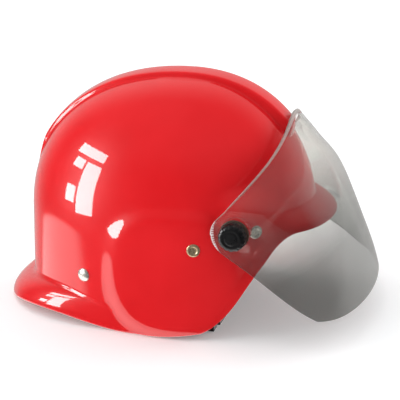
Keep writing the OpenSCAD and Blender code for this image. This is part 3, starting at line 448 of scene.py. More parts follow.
def skin_point(a, z, u):
    """Outer skin without the crest: angle from the front, height, and share of the flare."""
    r = plan_radius(a) * dome_share(a, z) + flare_out(a, u)
    x, y = r * np.cos(a), r * np.sin(a)
    y = y + ear_swell(x, z) * smooth(y / 40)
    foot = smooth((FOOT_REACH - np.hypot(x - PIVOT_X, z - PIVOT_Z)) / (FOOT_REACH - FOOT_RADIUS))
    y = np.maximum(y, mix(y, FOOT_FACE, foot * (y > 30)))
    return xyz(x, y, z)


print("edge heights at front, side and rear:", edge_height(np.radians([0, 90, 180])).round(1))

# %% [markdown]
# The crest is drawn on the same grid. Its columns leave the plain fan of angles and follow lines at fixed
# distances from the middle, so that the shoulders of the crest run as clean edges from nose to tail.

# %% Crest
CREST_HEIGHT, CREST_NOSE_HEIGHT = 4, 8
CREST_NOSE, CREST_TAIL = 37.2, 167
CREST_LINES = np.array([3, 5.6, 7.6, 8.6, 9.4, 10.1, 10.7, 11.2, 11.7, 12.2, 12.7, 13.6])
SHOULDER_Y = [7.6, 8.8, 9.8, 10.7, 11.3, 11.9, 12.6, 13.6]
SHOULDER_SHARE = [1, 0.985, 0.93, 0.8, 0.6, 0.34, 0.1, 0]


def crest_rise(points):
    """Height of the crest over the skin; climb is the angle up over the dome from the front."""
    x, y, z = points[..., 0], points[..., 1], points[..., 2]
    level = np.clip((z - DOME_LEVEL) / (DOME_TOP - DOME_LEVEL), 0, 1)
    power = rise_power(np.where(x > 0, 0.0, np.pi))
    climb = np.degrees(np.arcsin(np.clip(level ** (power / 2), 0, 1)))
    climb = np.where(x > 0, climb, 180 - climb)
    height = mix(CREST_NOSE_HEIGHT, CREST_HEIGHT, smooth((climb - 42) / 48))
    nose = np.sin(np.pi / 2 * np.clip((climb - CREST_NOSE) / 6, 0, 1)) ** 0.6
    tail = smooth((CREST_TAIL - climb) / 16)
    return height * nose * tail * np.interp(np.abs(y), SHOULDER_Y, SHOULDER_SHARE)


# %% Grid of the skin
LINES = len(CREST_LINES)
HALF, PEAK_COLUMNS, FINE_COLUMNS = 132, 18, 54
FINE_FROM, FINE_TO = 26, 74
DOME_PARTS = [0.95, 0.905, 0.85, 0.785, 0.715, 0.648, 0.605, 0.567, 0.533, 0.46, 0.37, 0.28, 0.19, 0.1, 0]
ROWS_BETWEEN, BLEND_ROWS, FLARE_ROWS = 5, 3, 20
CROWN_REACH, CROWN_STEP = 12, 1.4
RIM_RADIUS = SHELL_WALL / 2
k = np.arange(HALF + 1)
fine_end = PEAK_COLUMNS + FINE_COLUMNS
angles = np.radians(np.interp(k, [0, PEAK_COLUMNS, fine_end, HALF], [0, FINE_FROM, FINE_TO, 180]))


def line_angle(y, z, rear):
    """The angle at which the dome's level z is y away from the middle."""
    a = np.full(np.broadcast(y, z).shape, math.radians(165 if rear else 15))
    for _ in range(6):
        lean = np.arcsin(np.clip(y / (plan_radius(a) * dome_share(a, z)), 0, 0.98))
        a = np.pi - lean if rear else lean
    return a


def ring(z, u):
    """One level of the skin from front to rear; z and u hold a value for each column."""
    front_hold, tail_hold = smooth((z - 125) / 45), smooth((z - 70) / 35)
    a = angles.copy()
    low, high = angles[LINES], angles[HALF - LINES]
    near = slice(1, LINES + 1)
    a[near] = mix(angles[near], line_angle(CREST_LINES, z[near], False), front_hold[near])
    back = slice(HALF - LINES, HALF)
    a[back] = mix(angles[back], line_angle(CREST_LINES[::-1], z[back], True), tail_hold[back])
    middle = slice(LINES + 1, HALF - LINES)
    zm = z[middle]
    pull_front = front_hold[middle] * (line_angle(CREST_LINES[-1], zm, False) - low)
    pull_rear = tail_hold[middle] * (line_angle(CREST_LINES[-1], zm, True) - high)
    a[middle] = angles[middle] + mix(pull_front, pull_rear, (angles[middle] - low) / (high - low))
    return skin_point(a, z, u)


def on_dome(xy):
    """Lifts points of the plan onto the dome."""
    a = np.arctan2(xy[..., 1], xy[..., 0])
    power = rise_power(a)
    share = np.linalg.norm(xy, axis=-1) / plan_radius(a)
    z = DOME_LEVEL + (DOME_TOP - DOME_LEVEL) * (1 - share**power) ** (1 / power)
    return xyz(xy[..., 0], xy[..., 1], z)


def crown_ring(j):
    """A ring round the crown whose long sides lie on crest line j."""
    corner, reach = j + 1, CROWN_REACH + CROWN_STEP * j
    x = np.interp(k, [corner, HALF - corner], [reach, -reach])
    y = np.full(HALF + 1, CREST_LINES[j])
    lines = np.concatenate([[0], CREST_LINES])
    y[: corner + 1] = lines[: corner + 1]
    y[HALF - corner :] = lines[corner::-1]
    return xyz(x, y)


parts = np.interp(np.arange((len(DOME_PARTS) - 1) * ROWS_BETWEEN + 1) / ROWS_BETWEEN,
                  np.arange(len(DOME_PARTS)), DOME_PARTS)
edge, fall = edge_height(angles), flare_height(angles)
dome_rings = [ring(mix(edge + fall, DOME_TOP, p), 0 * k) for p in parts]
crown_rings = [on_dome(crown_ring(j)) for j in range(LINES)]
joining = [on_dome(mix(crown_ring(LINES - 1), dome_rings[0][:, :2], t / (BLEND_ROWS + 1)))
           for t in range(1, BLEND_ROWS + 1)]
last_share = 1 - RIM_RADIUS / fall
flare_rings = [ring(edge + fall * (1 - last_share * t / FLARE_ROWS), last_share * t / FLARE_ROWS)
               for t in range(1, FLARE_ROWS + 1)]
half_grid = np.stack(crown_rings + joining + dome_rings + flare_rings, axis=1)
skin = np.concatenate([half_grid, half_grid[-2:0:-1] * [1, -1, 1]])
print("skin grid:", skin.shape[:2])

# %% Normals, wall, rim and poles
def grid_normals(grid):
    """Outward unit normals of a closed grid."""
    du = np.roll(grid, -1, axis=0) - np.roll(grid, 1, axis=0)
    dv = np.empty_like(grid)
    dv[:, 1:-1] = grid[:, 2:] - grid[:, :-2]
    dv[:, 0] = grid[:, 1] - grid[:, 0]
    dv[:, -1] = grid[:, -1] - grid[:, -2]
    return unit(np.cross(dv, du))


normals = grid_normals(skin)
outer = skin + crest_rise(skin)[..., None] * normals
inner = skin - SHELL_WALL * normals
inner[..., 2] = np.maximum(inner[..., 2], skin[:, -1:, 2])
middle = (outer[:, -1] + inner[:, -1]) / 2
across = (outer[:, -1] - inner[:, -1]) / 2
down = unit(skin[:, -1] - skin[:, -2]) * RIM_RADIUS
turns = np.radians(np.linspace(0, 180, 9)[1:-1])
rim = [middle + across * math.cos(t) + down * math.sin(t) for t in turns]
wall = np.concatenate([outer, np.stack(rim, axis=1), inner[:, ::-1]], axis=1)
columns, rows = wall.shape[:2]
top = [0, 0, DOME_TOP + CREST_HEIGHT]
under = [0, 0, DOME_TOP - SHELL_WALL]
points = np.concatenate([wall.reshape(-1, 3), [top, under]])
faces = round_faces(columns, rows)

# %% [markdown]
# A round boss on each side carries the visor. It is turned from a profile, as on a lathe.

# %% Pivot bosses
def lathe(profile, segments, place, fluting=None):
    """A closed turned shape; profile holds (radius, height) from the axis out and back to it."""
    turn = np.linspace(0, 2 * np.pi, segments, endpoint=False)[:, None]
    r, h = np.asarray(profile, float).T
    cut = fluting(turn, r, h) if fluting else 1
    radius = r * cut
    local = xyz(radius * np.cos(turn), radius * np.sin(turn), h)
    inside = local[:, 1:-1].reshape(-1, 3)
    ends = np.array([[0, 0, h[0]], [0, 0, h[-1]]])
    return place(np.concatenate([inside, ends])), round_faces(segments, len(profile) - 2)


def along_y(x, z, side):
    """Places a shape whose axis is +Z so that it points out of the left or right side."""
    def place(p):
        return xyz(x + p[:, 0], side * p[:, 2], z + side * p[:, 1])
    return place


def join_shapes(shapes):
    """Points and faces of several shapes as one."""
    all_points, all_faces, start = [], [], 0
    for some, their in shapes:
        all_points.append(some)
        all_faces += [[i + start for i in f] for f in their]
        start += len(some)
    return np.concatenate(all_points), all_faces


boss_foot = BOSS_FACE - BOSS_SKIRT
boss_profile = [(0, BOSS_FACE), (8, BOSS_FACE), (BOSS_RADIUS - 0.6, BOSS_FACE),
                (BOSS_RADIUS - 0.15, BOSS_FACE - 0.2), (BOSS_RADIUS, BOSS_FACE - 0.6),
                (BOSS_RADIUS, boss_foot), (BOSS_RADIUS / 2, boss_foot), (0, boss_foot)]
bosses = [lathe(boss_profile, 72, along_y(PIVOT_X, PIVOT_Z, side)) for side in (1, -1)]
points, faces = join_shapes([(points, faces)] + bosses)
shell_skin = make_piece("shell_skin", to_frame(points), faces, abs_red)
hand_over(shell_skin, "shell", "helmet", "shell_red")

# %% [markdown]
# ## The visor
# A flat blank of polycarbonate was cut out and bent warm over a form: its ears stay flat, its front is a
# soft half oval. The grid below runs from ear to ear; each column is a line from lower edge to upper rim.

# %% Visor form
VISOR_WALL, EAR_RADIUS, VISOR_BOW = 2.2, 20.5, 9.5
VISOR_TOP, VISOR_LOW = np.array([94.4, 192.0]), np.array([171.4, 27.0])
FACE_GAP, WASHER_WALL, SPRING_WALL = 0.05, 1.7, 0.9
EAR_FACE = BOSS_FACE + WASHER_WALL + 2 * FACE_GAP
ROOT_X = 60
EAR_CENTRE = np.array([62.8, 105.8])
LOWER_CORNER = np.array([144.5, 27.5])
CORNER_ROUND = 5
chord = VISOR_TOP - VISOR_LOW
bow_radius = (np.linalg.norm(chord) / 2) ** 2 / (2 * VISOR_BOW) + VISOR_BOW / 2
bow_side = np.array([unit(chord)[1], -unit(chord)[0]])
bow_centre = (VISOR_TOP + VISOR_LOW) / 2 - bow_side * (bow_radius - VISOR_BOW)


def bow_x(z):
    """The visor's front line in the side view."""
    return bow_centre[0] + np.sqrt(bow_radius**2 - (z - bow_centre[1]) ** 2)


def visor_power(z):
    return np.where(z > 108, mix(3.9, 2, smooth((z - 108) / 52)), mix(5.3, 3.9, smooth((z - 30) / 78)))


def visor_half(z):
    """Half the visor's width at a height."""
    return EAR_FACE + 12 * smooth((82 - z) / 60) - 0.2 * np.maximum(0, z - 128) ** 1.4


def visor_point(s, z):
    """A point of the sheet's inner face: s is the share of the way forward."""
    y = visor_half(z) * np.sqrt(np.maximum(0, 1 - np.maximum(0, s) ** visor_power(z)))
    return xyz(ROOT_X + s * (bow_x(z) - ROOT_X), y, z)


def visor_share(q):
    """How far forward a side-view point lies: 0 at the root and 1 at the bow."""
    return (q[..., 0] - ROOT_X) / (bow_x(q[..., 1]) - ROOT_X)


def tangent_point(centre, radius, q, side):
    """Where a line from q touches a circle, on one side of it."""
    away = unit(q - centre)
    turn = side * math.acos(radius / np.linalg.norm(q - centre))
    c, s = math.cos(turn), math.sin(turn)
    return centre + radius * np.array([away[0] * c - away[1] * s, away[0] * s + away[1] * c])


lower_start = tangent_point(EAR_CENTRE, EAR_RADIUS, LOWER_CORNER, -1)
lower_dir = unit(LOWER_CORNER - lower_start)
RIM_BEND = np.array([[81.0, 155.0], [95.0, 170.0]])
rim_start = tangent_point(EAR_CENTRE, EAR_RADIUS, RIM_BEND[0], 1)
corner_start = LOWER_CORNER - CORNER_ROUND * lower_dir
print("ear touches the lower edge at", lower_start.round(1), "and the rim at", rim_start.round(1))

# %% Visor grid
SIDE_COLUMNS, FRONT_COLUMNS, VISOR_ROWS = 44, 56, 110
corner_y = visor_point(visor_share(corner_start), LOWER_CORNER[1])[1]


def lower_edge(t):
    """The lower edge: t from 0 to 1 along the side, from 1 to 2 across the front."""
    along = mix(lower_start, corner_start, min(t, 1.0))
    if t <= 1:
        return along
    f = t - 1
    z = mix(LOWER_CORNER[1], VISOR_LOW[1], f) + (corner_start - LOWER_CORNER)[1] * (1 - f) ** 9
    s = max(0.0, 1 - (corner_y * (1 - f) / visor_half(z)) ** 2) ** (1 / visor_power(z))
    return np.array([ROOT_X + s * (bow_x(z) - ROOT_X), z])


def upper_edge(t):
    """The upper rim: one curve from the ear to the tip."""
    f = 1 - (1 - t) ** 1.7
    b = [rim_start, RIM_BEND[0], RIM_BEND[1], VISOR_TOP]
    return (1 - f) ** 3 * b[0] + 3 * f * (1 - f) ** 2 * b[1] + 3 * f * f * (1 - f) * b[2] + f**3 * b[3]


steps = np.concatenate([np.linspace(0, 1, SIDE_COLUMNS + 1), np.linspace(1, 2, FRONT_COLUMNS + 1)[1:]])
upper_steps = np.arange(len(steps)) / (len(steps) - 1)
rise = np.linspace(0, 1, VISOR_ROWS + 1)
sheet_half = []
for t, up in zip(steps, upper_steps):
    a, b = lower_edge(t), upper_edge(up)
    s = mix(visor_share(a), visor_share(b), rise)
    sheet_half.append(visor_point(s, mix(a[1], b[1], rise)))
sheet_half = np.array(sheet_half)

# %% [markdown]
# The round ear closes the sheet behind the pivot. A fan of columns fills it out to the rim. Small teeth
# are cut in the ear's rear edge; the rim of the fan dips at each one.

# %% Ears with their teeth
EAR_COLUMNS = 16
TOOTH_FROM, TOOTH_STEP, TOOTH_COUNT, NOTCH = 186, 6.5, 8, 1.4
ear_low = math.atan2(*(lower_start - EAR_CENTRE)[::-1])
ear_high = math.atan2(*(rim_start - EAR_CENTRE)[::-1])
arc = np.linspace(ear_low % (2 * np.pi), ear_high % (2 * np.pi), VISOR_ROWS + 1)
tooth_at = np.radians(TOOTH_FROM + TOOTH_STEP * np.arange(TOOTH_COUNT))
off = (EAR_RADIUS + 0.5) * np.sin(np.abs(arc[:, None] - tooth_at[None, :]).min(axis=1))
dip = np.where(off < NOTCH, 0.5 - np.sqrt(np.maximum(0, NOTCH**2 - off**2)), 0)
ear_edge_radius = EAR_RADIUS + np.minimum(0, dip)
ear_edge = EAR_CENTRE + ear_edge_radius[:, None] * circle(arc)
ear_edge = xyz(ear_edge[:, 0], EAR_FACE, ear_edge[:, 1])
fan = [mix(ear_edge, sheet_half[0], (i / EAR_COLUMNS) ** 0.8) for i in range(EAR_COLUMNS)]
half_sheet = np.concatenate([fan, sheet_half])
right = half_sheet * [1, -1, 1]
inner_sheet = np.concatenate([right, half_sheet[-2::-1]])
du = np.gradient(inner_sheet, axis=0)
dv = np.gradient(inner_sheet, axis=1)
sheet_normals = unit(np.cross(du, dv))
x, z = inner_sheet[..., 0], inner_sheet[..., 2]
flat = smooth((ROOT_X + 6 - x) / 12) * smooth((z - 76) / 10) * smooth((134 - z) / 10)
straight_out = xyz(0, np.sign(inner_sheet[..., 1]), 0)
sheet_normals = unit(mix(sheet_normals, straight_out, flat[..., None]))
BEAD_WIDTH, BEAD_SWELL = 3.4, 0.55
from_rim = np.linalg.norm(inner_sheet - inner_sheet[:, -1:], axis=-1)
bead = BEAD_SWELL * smooth((BEAD_WIDTH - from_rim) / 1.4)
outer_sheet = inner_sheet + (VISOR_WALL + bead)[..., None] * sheet_normals

# %% Visor piece
EDGE_BEVEL = 0.25
CLEAR, EDGE_AND_HIGHLIGHT, SCORED_AND_GLINTS = range(3)
sides = np.concatenate([inner_sheet, outer_sheet[:, ::-1]], axis=1)
columns, rows = sides.shape[:2]
faces = grid_faces(columns, rows)
for i in range(columns - 1):
    faces.append([i * rows + rows - 1, (i + 1) * rows + rows - 1, (i + 1) * rows, i * rows])
half_rows = rows // 2
for i, turned in ((0, False), (columns - 1, True)):
    for j in range(half_rows - 1):
        quad = [i * rows + j, i * rows + j + 1, i * rows + rows - 2 - j, i * rows + rows - 1 - j]
        faces.append(quad[::-1] if turned else quad)
visor_sheet = make_piece("visor_sheet", to_frame(sides.reshape(-1, 3)), faces, polycarbonate)
for finish in (cut_edge_and_highlight, frosted_band_and_glints):
    visor_sheet.data.materials.append(finish.material)
BEAD_ROWS, BAND_COLUMNS, GLINT_COLUMNS = 3, 1, 6
# At each tooth, part of the faces along the ear's rear edge are painted nearly white: painted glints on
# the teeth.
tooth_glint = ((np.degrees(arc) - TOOTH_FROM) / TOOTH_STEP) % 1
tooth_glint = (tooth_glint > 0.25) & (tooth_glint < 0.75)
row_of = np.minimum(np.arange(rows - 1), rows - 2 - np.arange(rows - 1))
face_finish = []
for column in range(columns - 1):
    from_ear = min(column, columns - 2 - column)
    for row in range(rows - 1):
        glinted = from_ear < GLINT_COLUMNS and row >= half_rows and tooth_glint[row_of[row]]
        # Faces along the rim take the pale edge finish: a painted highlight.
        on_rim = abs(row - half_rows + 1) < BEAD_ROWS
        if from_ear < BAND_COLUMNS or glinted:
            face_finish.append(SCORED_AND_GLINTS)
        else:
            face_finish.append(EDGE_AND_HIGHLIGHT if on_rim else CLEAR)
face_finish += [EDGE_AND_HIGHLIGHT] * (len(faces) - len(face_finish))
visor_sheet.data.polygons.foreach_set("material_index", face_finish)
bevel = visor_sheet.modifiers.new("edges", "BEVEL")
bevel.width, bevel.segments, bevel.material = EDGE_BEVEL * MM, 2, EDGE_AND_HIGHLIGHT
bevel.limit_method, bevel.angle_limit = "ANGLE", math.radians(50)
hand_over(visor_sheet, "visor", "visor", "visor_clear")

# %% [markdown]
# ## Clamp knobs
# Each black knob is a moulded thumb nut. A hand grips it by shallow flutes round its side, and a faint
# ring is sunk in its face. One turned profile, whose radius dips at the flutes, gives the whole form.

# %% Knobs
KNOB_RADIUS, KNOB_DEPTH, FLUTES = 12.5, 10.5, 14
KNOB_BASE = EAR_FACE + VISOR_WALL + SPRING_WALL + 2 * FACE_GAP


def flutes(count, depth, radius, low):
    """Round grooves in the side of a turned shape, fading in above its base."""
    def cut(turn, r, h):
        wave = np.clip((np.cos(turn * count) - 0.55) / 0.45, 0, 1) ** 0.8
        outside = smooth((r / radius - 0.72) / 0.2)
        return 1 - depth / radius * wave * outside * smooth((h - low) / 1.6)
    return cut


KNOB_SIDE = [0.7, 2, 2.4, 3, 4, 5.5, KNOB_DEPTH - 3]
KNOB_SHOULDER = [(0.3, 2.1), (0.9, 1.3), (1.7, 0.7), (2.6, 0.3), (3.6, 0.15)]
KNOB_FACE = [(8.2, 0.1), (7.8, 0.12), (7.4, 0.18), (7.0, 0.2), (6.4, 0.2), (6.0, 0.18), (5.6, 0.05),
             (5.1, 0), (3, 0), (0, 0)]
knob_profile = [(0, 0), (4, 0), (KNOB_RADIUS - 0.7, 0), (KNOB_RADIUS - 0.2, 0.2)]
knob_profile += [(KNOB_RADIUS, h) for h in KNOB_SIDE]
knob_profile += [(KNOB_RADIUS - r, KNOB_DEPTH - h) for r, h in KNOB_SHOULDER]
knob_profile += [(r, KNOB_DEPTH - h) for r, h in KNOB_FACE]
profile = [(r, KNOB_BASE + h) for r, h in reversed(knob_profile)]
fluting = flutes(FLUTES, 0.9, KNOB_RADIUS, KNOB_BASE + 1.2)
for name, body, side in (("knob_left_cap", "knob_left", 1), ("knob_right_cap", "knob_right", -1)):
    points, faces = lathe(profile, 168, along_y(PIVOT_X, PIVOT_Z, side), fluting)
    knob = make_piece(name, to_frame(points), faces, knob_nylon)
    hand_over(knob, "visor_" + body, body, "knob_black")

# %% [markdown]
# ## Rivets
# Three rivets on each side hold the anchors of the suspension. Geometry Nodes place them: a tree turns a
# profile into a rivet, stands one on every seat along the seat's stored direction, and gives it its metal.

# %% A tree that turns a profile and stands it on points
def float_curve(tree, source, part, knots):
    """A curve through one part of the evenly spaced knots, read at source."""
    node = add(tree, "ShaderNodeFloatCurve", {0: 1.0}, {1: source})
    line = node.mapping.curves[0]
    node.mapping.use_clip = False
    for index, knot in enumerate(knots):
        at = (index / (len(knots) - 1), knot[part])
        if index < 2:
            line.points[index].location = at
        else:
            line.points.new(*at)
    for point in line.points:
        point.handle_type = "VECTOR"
    node.mapping.update()
    return node.outputs[0]


def turned_on_points(name, knots, finish, rows=4):
    """Tree: a turned shape on every point, along the point's axis. knots are (radius, height) shares."""
    tree = bpy.data.node_groups.new(name, "GeometryNodeTree")
    inputs = {"Geometry": "Geometry", "Radius": "Float", "Height": "Float", "Segments": "Int"}
    for label, kind in inputs.items():
        tree.interface.new_socket(label, in_out="INPUT", socket_type="NodeSocket" + kind)
    tree.interface.new_socket("Geometry", in_out="OUTPUT", socket_type="NodeSocketGeometry")
    given, result = add(tree, "NodeGroupInput").outputs, add(tree, "NodeGroupOutput")
    last = len(knots) - 1
    sizes = {"Size X": 1.0, "Size Y": 1.0, "Vertices Y": rows * last + 1}
    grid = add(tree, "GeometryNodeMeshGrid", sizes, {"Vertices X": given["Segments"]})
    place = add(tree, "GeometryNodeInputPosition")
    split = add(tree, "ShaderNodeSeparateXYZ", links={0: place.outputs[0]}).outputs
    turn = maths(tree, "MULTIPLY", maths(tree, "ADD", split["X"], 0.5), 2 * math.pi)
    share = maths(tree, "ADD", split["Y"], 0.5)
    radius, height = [
        maths(tree, "MULTIPLY", float_curve(tree, share, part, knots), given[label])
        for part, label in enumerate(("Radius", "Height"))]
    where = add(tree, "ShaderNodeCombineXYZ", links={
        "X": maths(tree, "MULTIPLY", radius, maths(tree, "COSINE", turn)),
        "Y": maths(tree, "MULTIPLY", radius, maths(tree, "SINE", turn)), "Z": height})
    bent = add(tree, "GeometryNodeSetPosition", links={0: grid.outputs[0], "Position": where.outputs[0]})
    closed = add(tree, "GeometryNodeMergeByDistance", {"Distance": 1e-6}, {0: bent.outputs[0]})
    axis = add(tree, "GeometryNodeInputNamedAttribute", {"Name": "axis"}, data_type="FLOAT_VECTOR")
    turned = add(tree, "FunctionNodeAlignRotationToVector", links={"Vector": axis.outputs[0]}, axis="Z")
    stood = add(tree, "GeometryNodeInstanceOnPoints", links={
        "Points": given[0], "Instance": closed.outputs[0], "Rotation": turned.outputs[0]})
    real = add(tree, "GeometryNodeRealizeInstances", links={0: stood.outputs[0]})
    shaded = add(tree, "GeometryNodeSetShadeSmooth", links={0: real.outputs[0]})
    made = add(tree, "GeometryNodeSetMaterial", {"Material": finish.material}, {0: shaded.outputs[0]})
    tree.links.new(made.outputs[0], result.inputs[0])
    return tree


def points_object(name, places, axes):
    """Loose points in the row frame, each with an axis, for a tree to work on."""
    mesh = new_mesh(name, places)
    stored = mesh.attributes.new("axis", "FLOAT_VECTOR", "POINT")
    stored.data.foreach_set("vector", np.asarray(axes, np.float32).ravel())
    return new_object(name, mesh)


def grow(source, tree, sizes, name):
    """Runs a tree on source and keeps the result as a plain mesh."""
    grown = source.modifiers.new(tree.name, "NODES")
    grown.node_group = tree
    sockets = {s.name: s.identifier for s in tree.interface.items_tree if s.in_out == "INPUT"}
    for label, value in sizes.items():
        grown[sockets[label]] = value
    graph = bpy.context.evaluated_depsgraph_get()
    mesh = bpy.data.meshes.new_from_object(source.evaluated_get(graph), depsgraph=graph)
    mesh.name = name
    if "axis" in mesh.attributes:
        mesh.attributes.remove(mesh.attributes["axis"])
    bpy.data.objects.remove(source)
    return new_object(name, mesh)


# %% [markdown]
# The rear rivets have plain bright domes. The middle ones are hollow: a rolled rim of yellow metal round a
# sunken floor. The front ones, under the visor, have a flat head with a raised ring.

# %% Rivets on their seats
RIVET_HEAD, RIVET_SHANK, HEAD_HEIGHT = 6.2, 2.4, 2.1
INNER_SEAT = -SHELL_WALL + 0.6
ANCHOR_WALL = 3
SEATS = {"front": ([80.5, 88.6, 105.6], 40), "middle": ([26.8, 104.6, 88.6], 10),
         "rear": ([-80.8, 89.0, 48.8], -22)}
shank = RIVET_SHANK / RIVET_HEAD
tail = (RIVET_SHANK + 1.4) / RIVET_HEAD
tail_low = (INNER_SEAT - ANCHOR_WALL - 1.3) / HEAD_HEIGHT
tail_top = (INNER_SEAT - ANCHOR_WALL - 0.05) / HEAD_HEIGHT
stem = [(1.0, -0.22), (0.9, -0.24), (shank, -0.24), (shank, tail_top), (tail, tail_top), (tail, tail_low),
        (0, tail_low)]
HEADS = {
    "rear": [(0, 1.12), (0.25, 1.1), (0.5, 1.0), (0.75, 0.8), (0.92, 0.52), (1.0, 0.3)] + stem,
    "middle": [(0, 0.5), (0.3, 0.5), (0.48, 0.52), (0.56, 0.8), (0.64, 0.98), (0.76, 1.04), (0.9, 0.86),
               (1.0, 0.4)] + stem,
    "front": [(0, 0.72), (0.3, 0.72), (0.4, 0.66), (0.5, 0.72), (0.6, 0.92), (0.76, 1.0), (0.9, 0.86),
              (1.0, 0.4)] + stem}
METALS = {"rear": (nickel, "rivet_nickel"), "middle": (brass, "brass"), "front": (nickel, "rivet_nickel")}
SIDES = (1, -1)


def seat_axis(lean):
    """The direction of a seat that leans by some degrees towards the front."""
    return np.array([math.sin(math.radians(lean)), math.cos(math.radians(lean)), 0])


rivet_sizes = {"Radius": RIVET_HEAD * MM, "Height": HEAD_HEIGHT * MM, "Segments": 49}
for row, (seat, lean) in SEATS.items():
    places = [to_frame(np.array(seat) * [1, side, 1]) for side in SIDES]
    source = points_object("seats_" + row, places, [seat_axis(lean) * [1, side, 1] for side in SIDES])
    metal, slot = METALS[row]
    tree = turned_on_points("rivet_" + row, HEADS[row], metal)
    rivets = grow(source, tree, rivet_sizes, "rivet_pair_" + row)
    hand_over(rivets, "rivets_" + row, "helmet", slot)

# %% [markdown]
# ## The suspension
# Inside the shell hangs a cradle: a headband, four crown tapes and pads. It has a frame of its own, tilted
# so that its plane follows the line of the rivets. Tapes and straps are flat webbing, so each is one strip
# swept along its path: it loops round a bar, and its tail is sewn back on itself.

# %% The suspension's own frame
HEAD_X, FRAME_X = 6, -19
front_seat, middle_seat, rear_seat = (np.array(SEATS[row][0]) for row in ("front", "middle", "rear"))
TILT = math.atan2(front_seat[2] - rear_seat[2], front_seat[0] - rear_seat[0])
FRAME_Z = middle_seat[2] + (FRAME_X - middle_seat[0]) * math.tan(TILT)
level, steep = math.cos(TILT), math.sin(TILT)
ACROSS_TILT = np.array([[level, 0, -steep], [0, 1, 0], [steep, 0, level]])
SOFT_GAP, LAYER_GAP = 0.3, 0.06
BAND_LENGTH, BAND_WIDTH = 99, 75


def from_harness(p):
    """Suspension millimetres to drawing millimetres."""
    return (np.asarray(p, float) + [HEAD_X, 0, 0]) @ ACROSS_TILT.T + [FRAME_X, 0, FRAME_Z]


def into_harness(p):
    """Drawing millimetres to suspension millimetres."""
    return (np.asarray(p, float) - [FRAME_X, 0, FRAME_Z]) @ ACROSS_TILT - [HEAD_X, 0, 0]


def band_oval(a, extra):
    """The headband's oval, extra millimetres larger, at angles a."""
    return circle(a) * [BAND_LENGTH + extra, BAND_WIDTH + extra]


print("suspension leans", round(math.degrees(TILT), 2), "degrees")

# %% Webbing along a path
upper_side = [(-1, 0), (-0.97, 0.62), (-0.88, 0.92), (-0.5, 1), (0, 1), (0.5, 1), (0.88, 0.92),
              (0.97, 0.62)]
SECTION = np.array(upper_side + [(-x, -y) for x, y in upper_side])


def along(path):
    """Distance from the path's start at each of its points."""
    return np.concatenate([[0], np.cumsum(np.linalg.norm(np.diff(path, axis=0), axis=1))])


def webbing(path, side, width, wall):
    """Points, quads and metre UVs of a flat strip; side is the direction of its width."""
    path = np.asarray(path, float)
    count, length = len(SECTION), len(path)
    face = unit(np.cross(unit(np.gradient(path, axis=0)), side))
    rings = (path[:, None] + SECTION[None, :, :1] * np.asarray(side) * width / 2
             + SECTION[None, :, 1:] * face[:, None] * wall / 2)
    faces = grid_faces(count, length, closed=True)
    faces.append([i * length for i in reversed(range(count))])
    faces.append([i * length + length - 1 for i in range(count)])
    uv = xyz(SECTION[:, :1] * width / 2, along(path)).reshape(-1, 2) * MM
    return rings.transpose(1, 0, 2).reshape(-1, 3), faces, uv


def resample(path, step):
    """The same path with points a step apart."""
    path = np.asarray(path, float)
    run = along(path)
    at = np.linspace(0, run[-1], max(3, int(run[-1] / step) + 1))
    return np.stack([np.interp(at, run, path[:, i]) for i in range(path.shape[1])], axis=-1)


def arc_2d(centre, radius, start, end, count):
    """Points of an arc in a plane, angles in degrees."""
    return np.asarray(centre) + radius * circle(np.radians(np.linspace(start, end, count)))


def join_webbing(name, strips, finish, place=to_frame):
    """One piece of several strips."""
    points, faces = join_shapes([strip[:2] for strip in strips])
    return make_piece(name, place(points), faces, finish, np.concatenate([strip[2] for strip in strips]))


# %% [markdown]
# Stitches are what tells webbing from a plain strap. A seam is a list of points with the thread's
# direction at each; the tree that stood the rivets on their seats now lays a short capsule on every point.

# %% Seams
STITCH_LENGTH, STITCH_STEP, THREAD_RADIUS = 2.3, 3.1, 0.33
stitch_knots = [(0, -0.5), (0.75, -0.42), (1, -0.22), (1, 0.22), (0.75, 0.42), (0, 0.5)]
stitch_sizes = {"Radius": THREAD_RADIUS * MM, "Height": STITCH_LENGTH * MM, "Segments": 7}


def seam(path):
    """Stitch places and directions along a path."""
    path = resample(path, STITCH_STEP)
    return (path[1:] + path[:-1]) / 2, unit(np.diff(path, axis=0))


def sew(name, seams, finish, place=to_frame):
    """All the stitches of a piece as one mesh."""
    places = np.concatenate([s[0] for s in seams])
    axes = place(places + np.concatenate([s[1] for s in seams])) - place(places)
    source = points_object(name + "_places", place(places), unit(axes))
    stitches = grow(source, turned_on_points(name, stitch_knots, finish, 1), stitch_sizes, name)
    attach(stitches, "helmet")
    print(name, "has", len(places), "stitches")


# %% [markdown]
# Each crown tape rises in an upright plane: round the hanger's cross bar, straight to where it touches the
# curve of the head, and over it to the crown pad. Its tail, on the head's side, is sewn with four rows.

# %% Crown tapes
TAPE_WIDTH, TAPE_WALL, CROWN_RISE = 18, 1.5, 104
PIN_DROP, BAR_BACK, BAR_RADIUS, HEAD_GAP = 8, 9, 2, 4
CROWN_END, TAIL_LENGTH = 80, 17
TAIL_ROWS, ROW_LENGTH, LAST_FLAT = (-0.36, -0.12, 0.12, 0.36), 8, 4


def hanger_pin(seat, lean):
    """Where an anchor's cross pin is, in the suspension's frame."""
    return into_harness(np.asarray(seat) - seat_axis(lean) * (ANCHOR_WALL - INNER_SEAT + PIN_DROP))


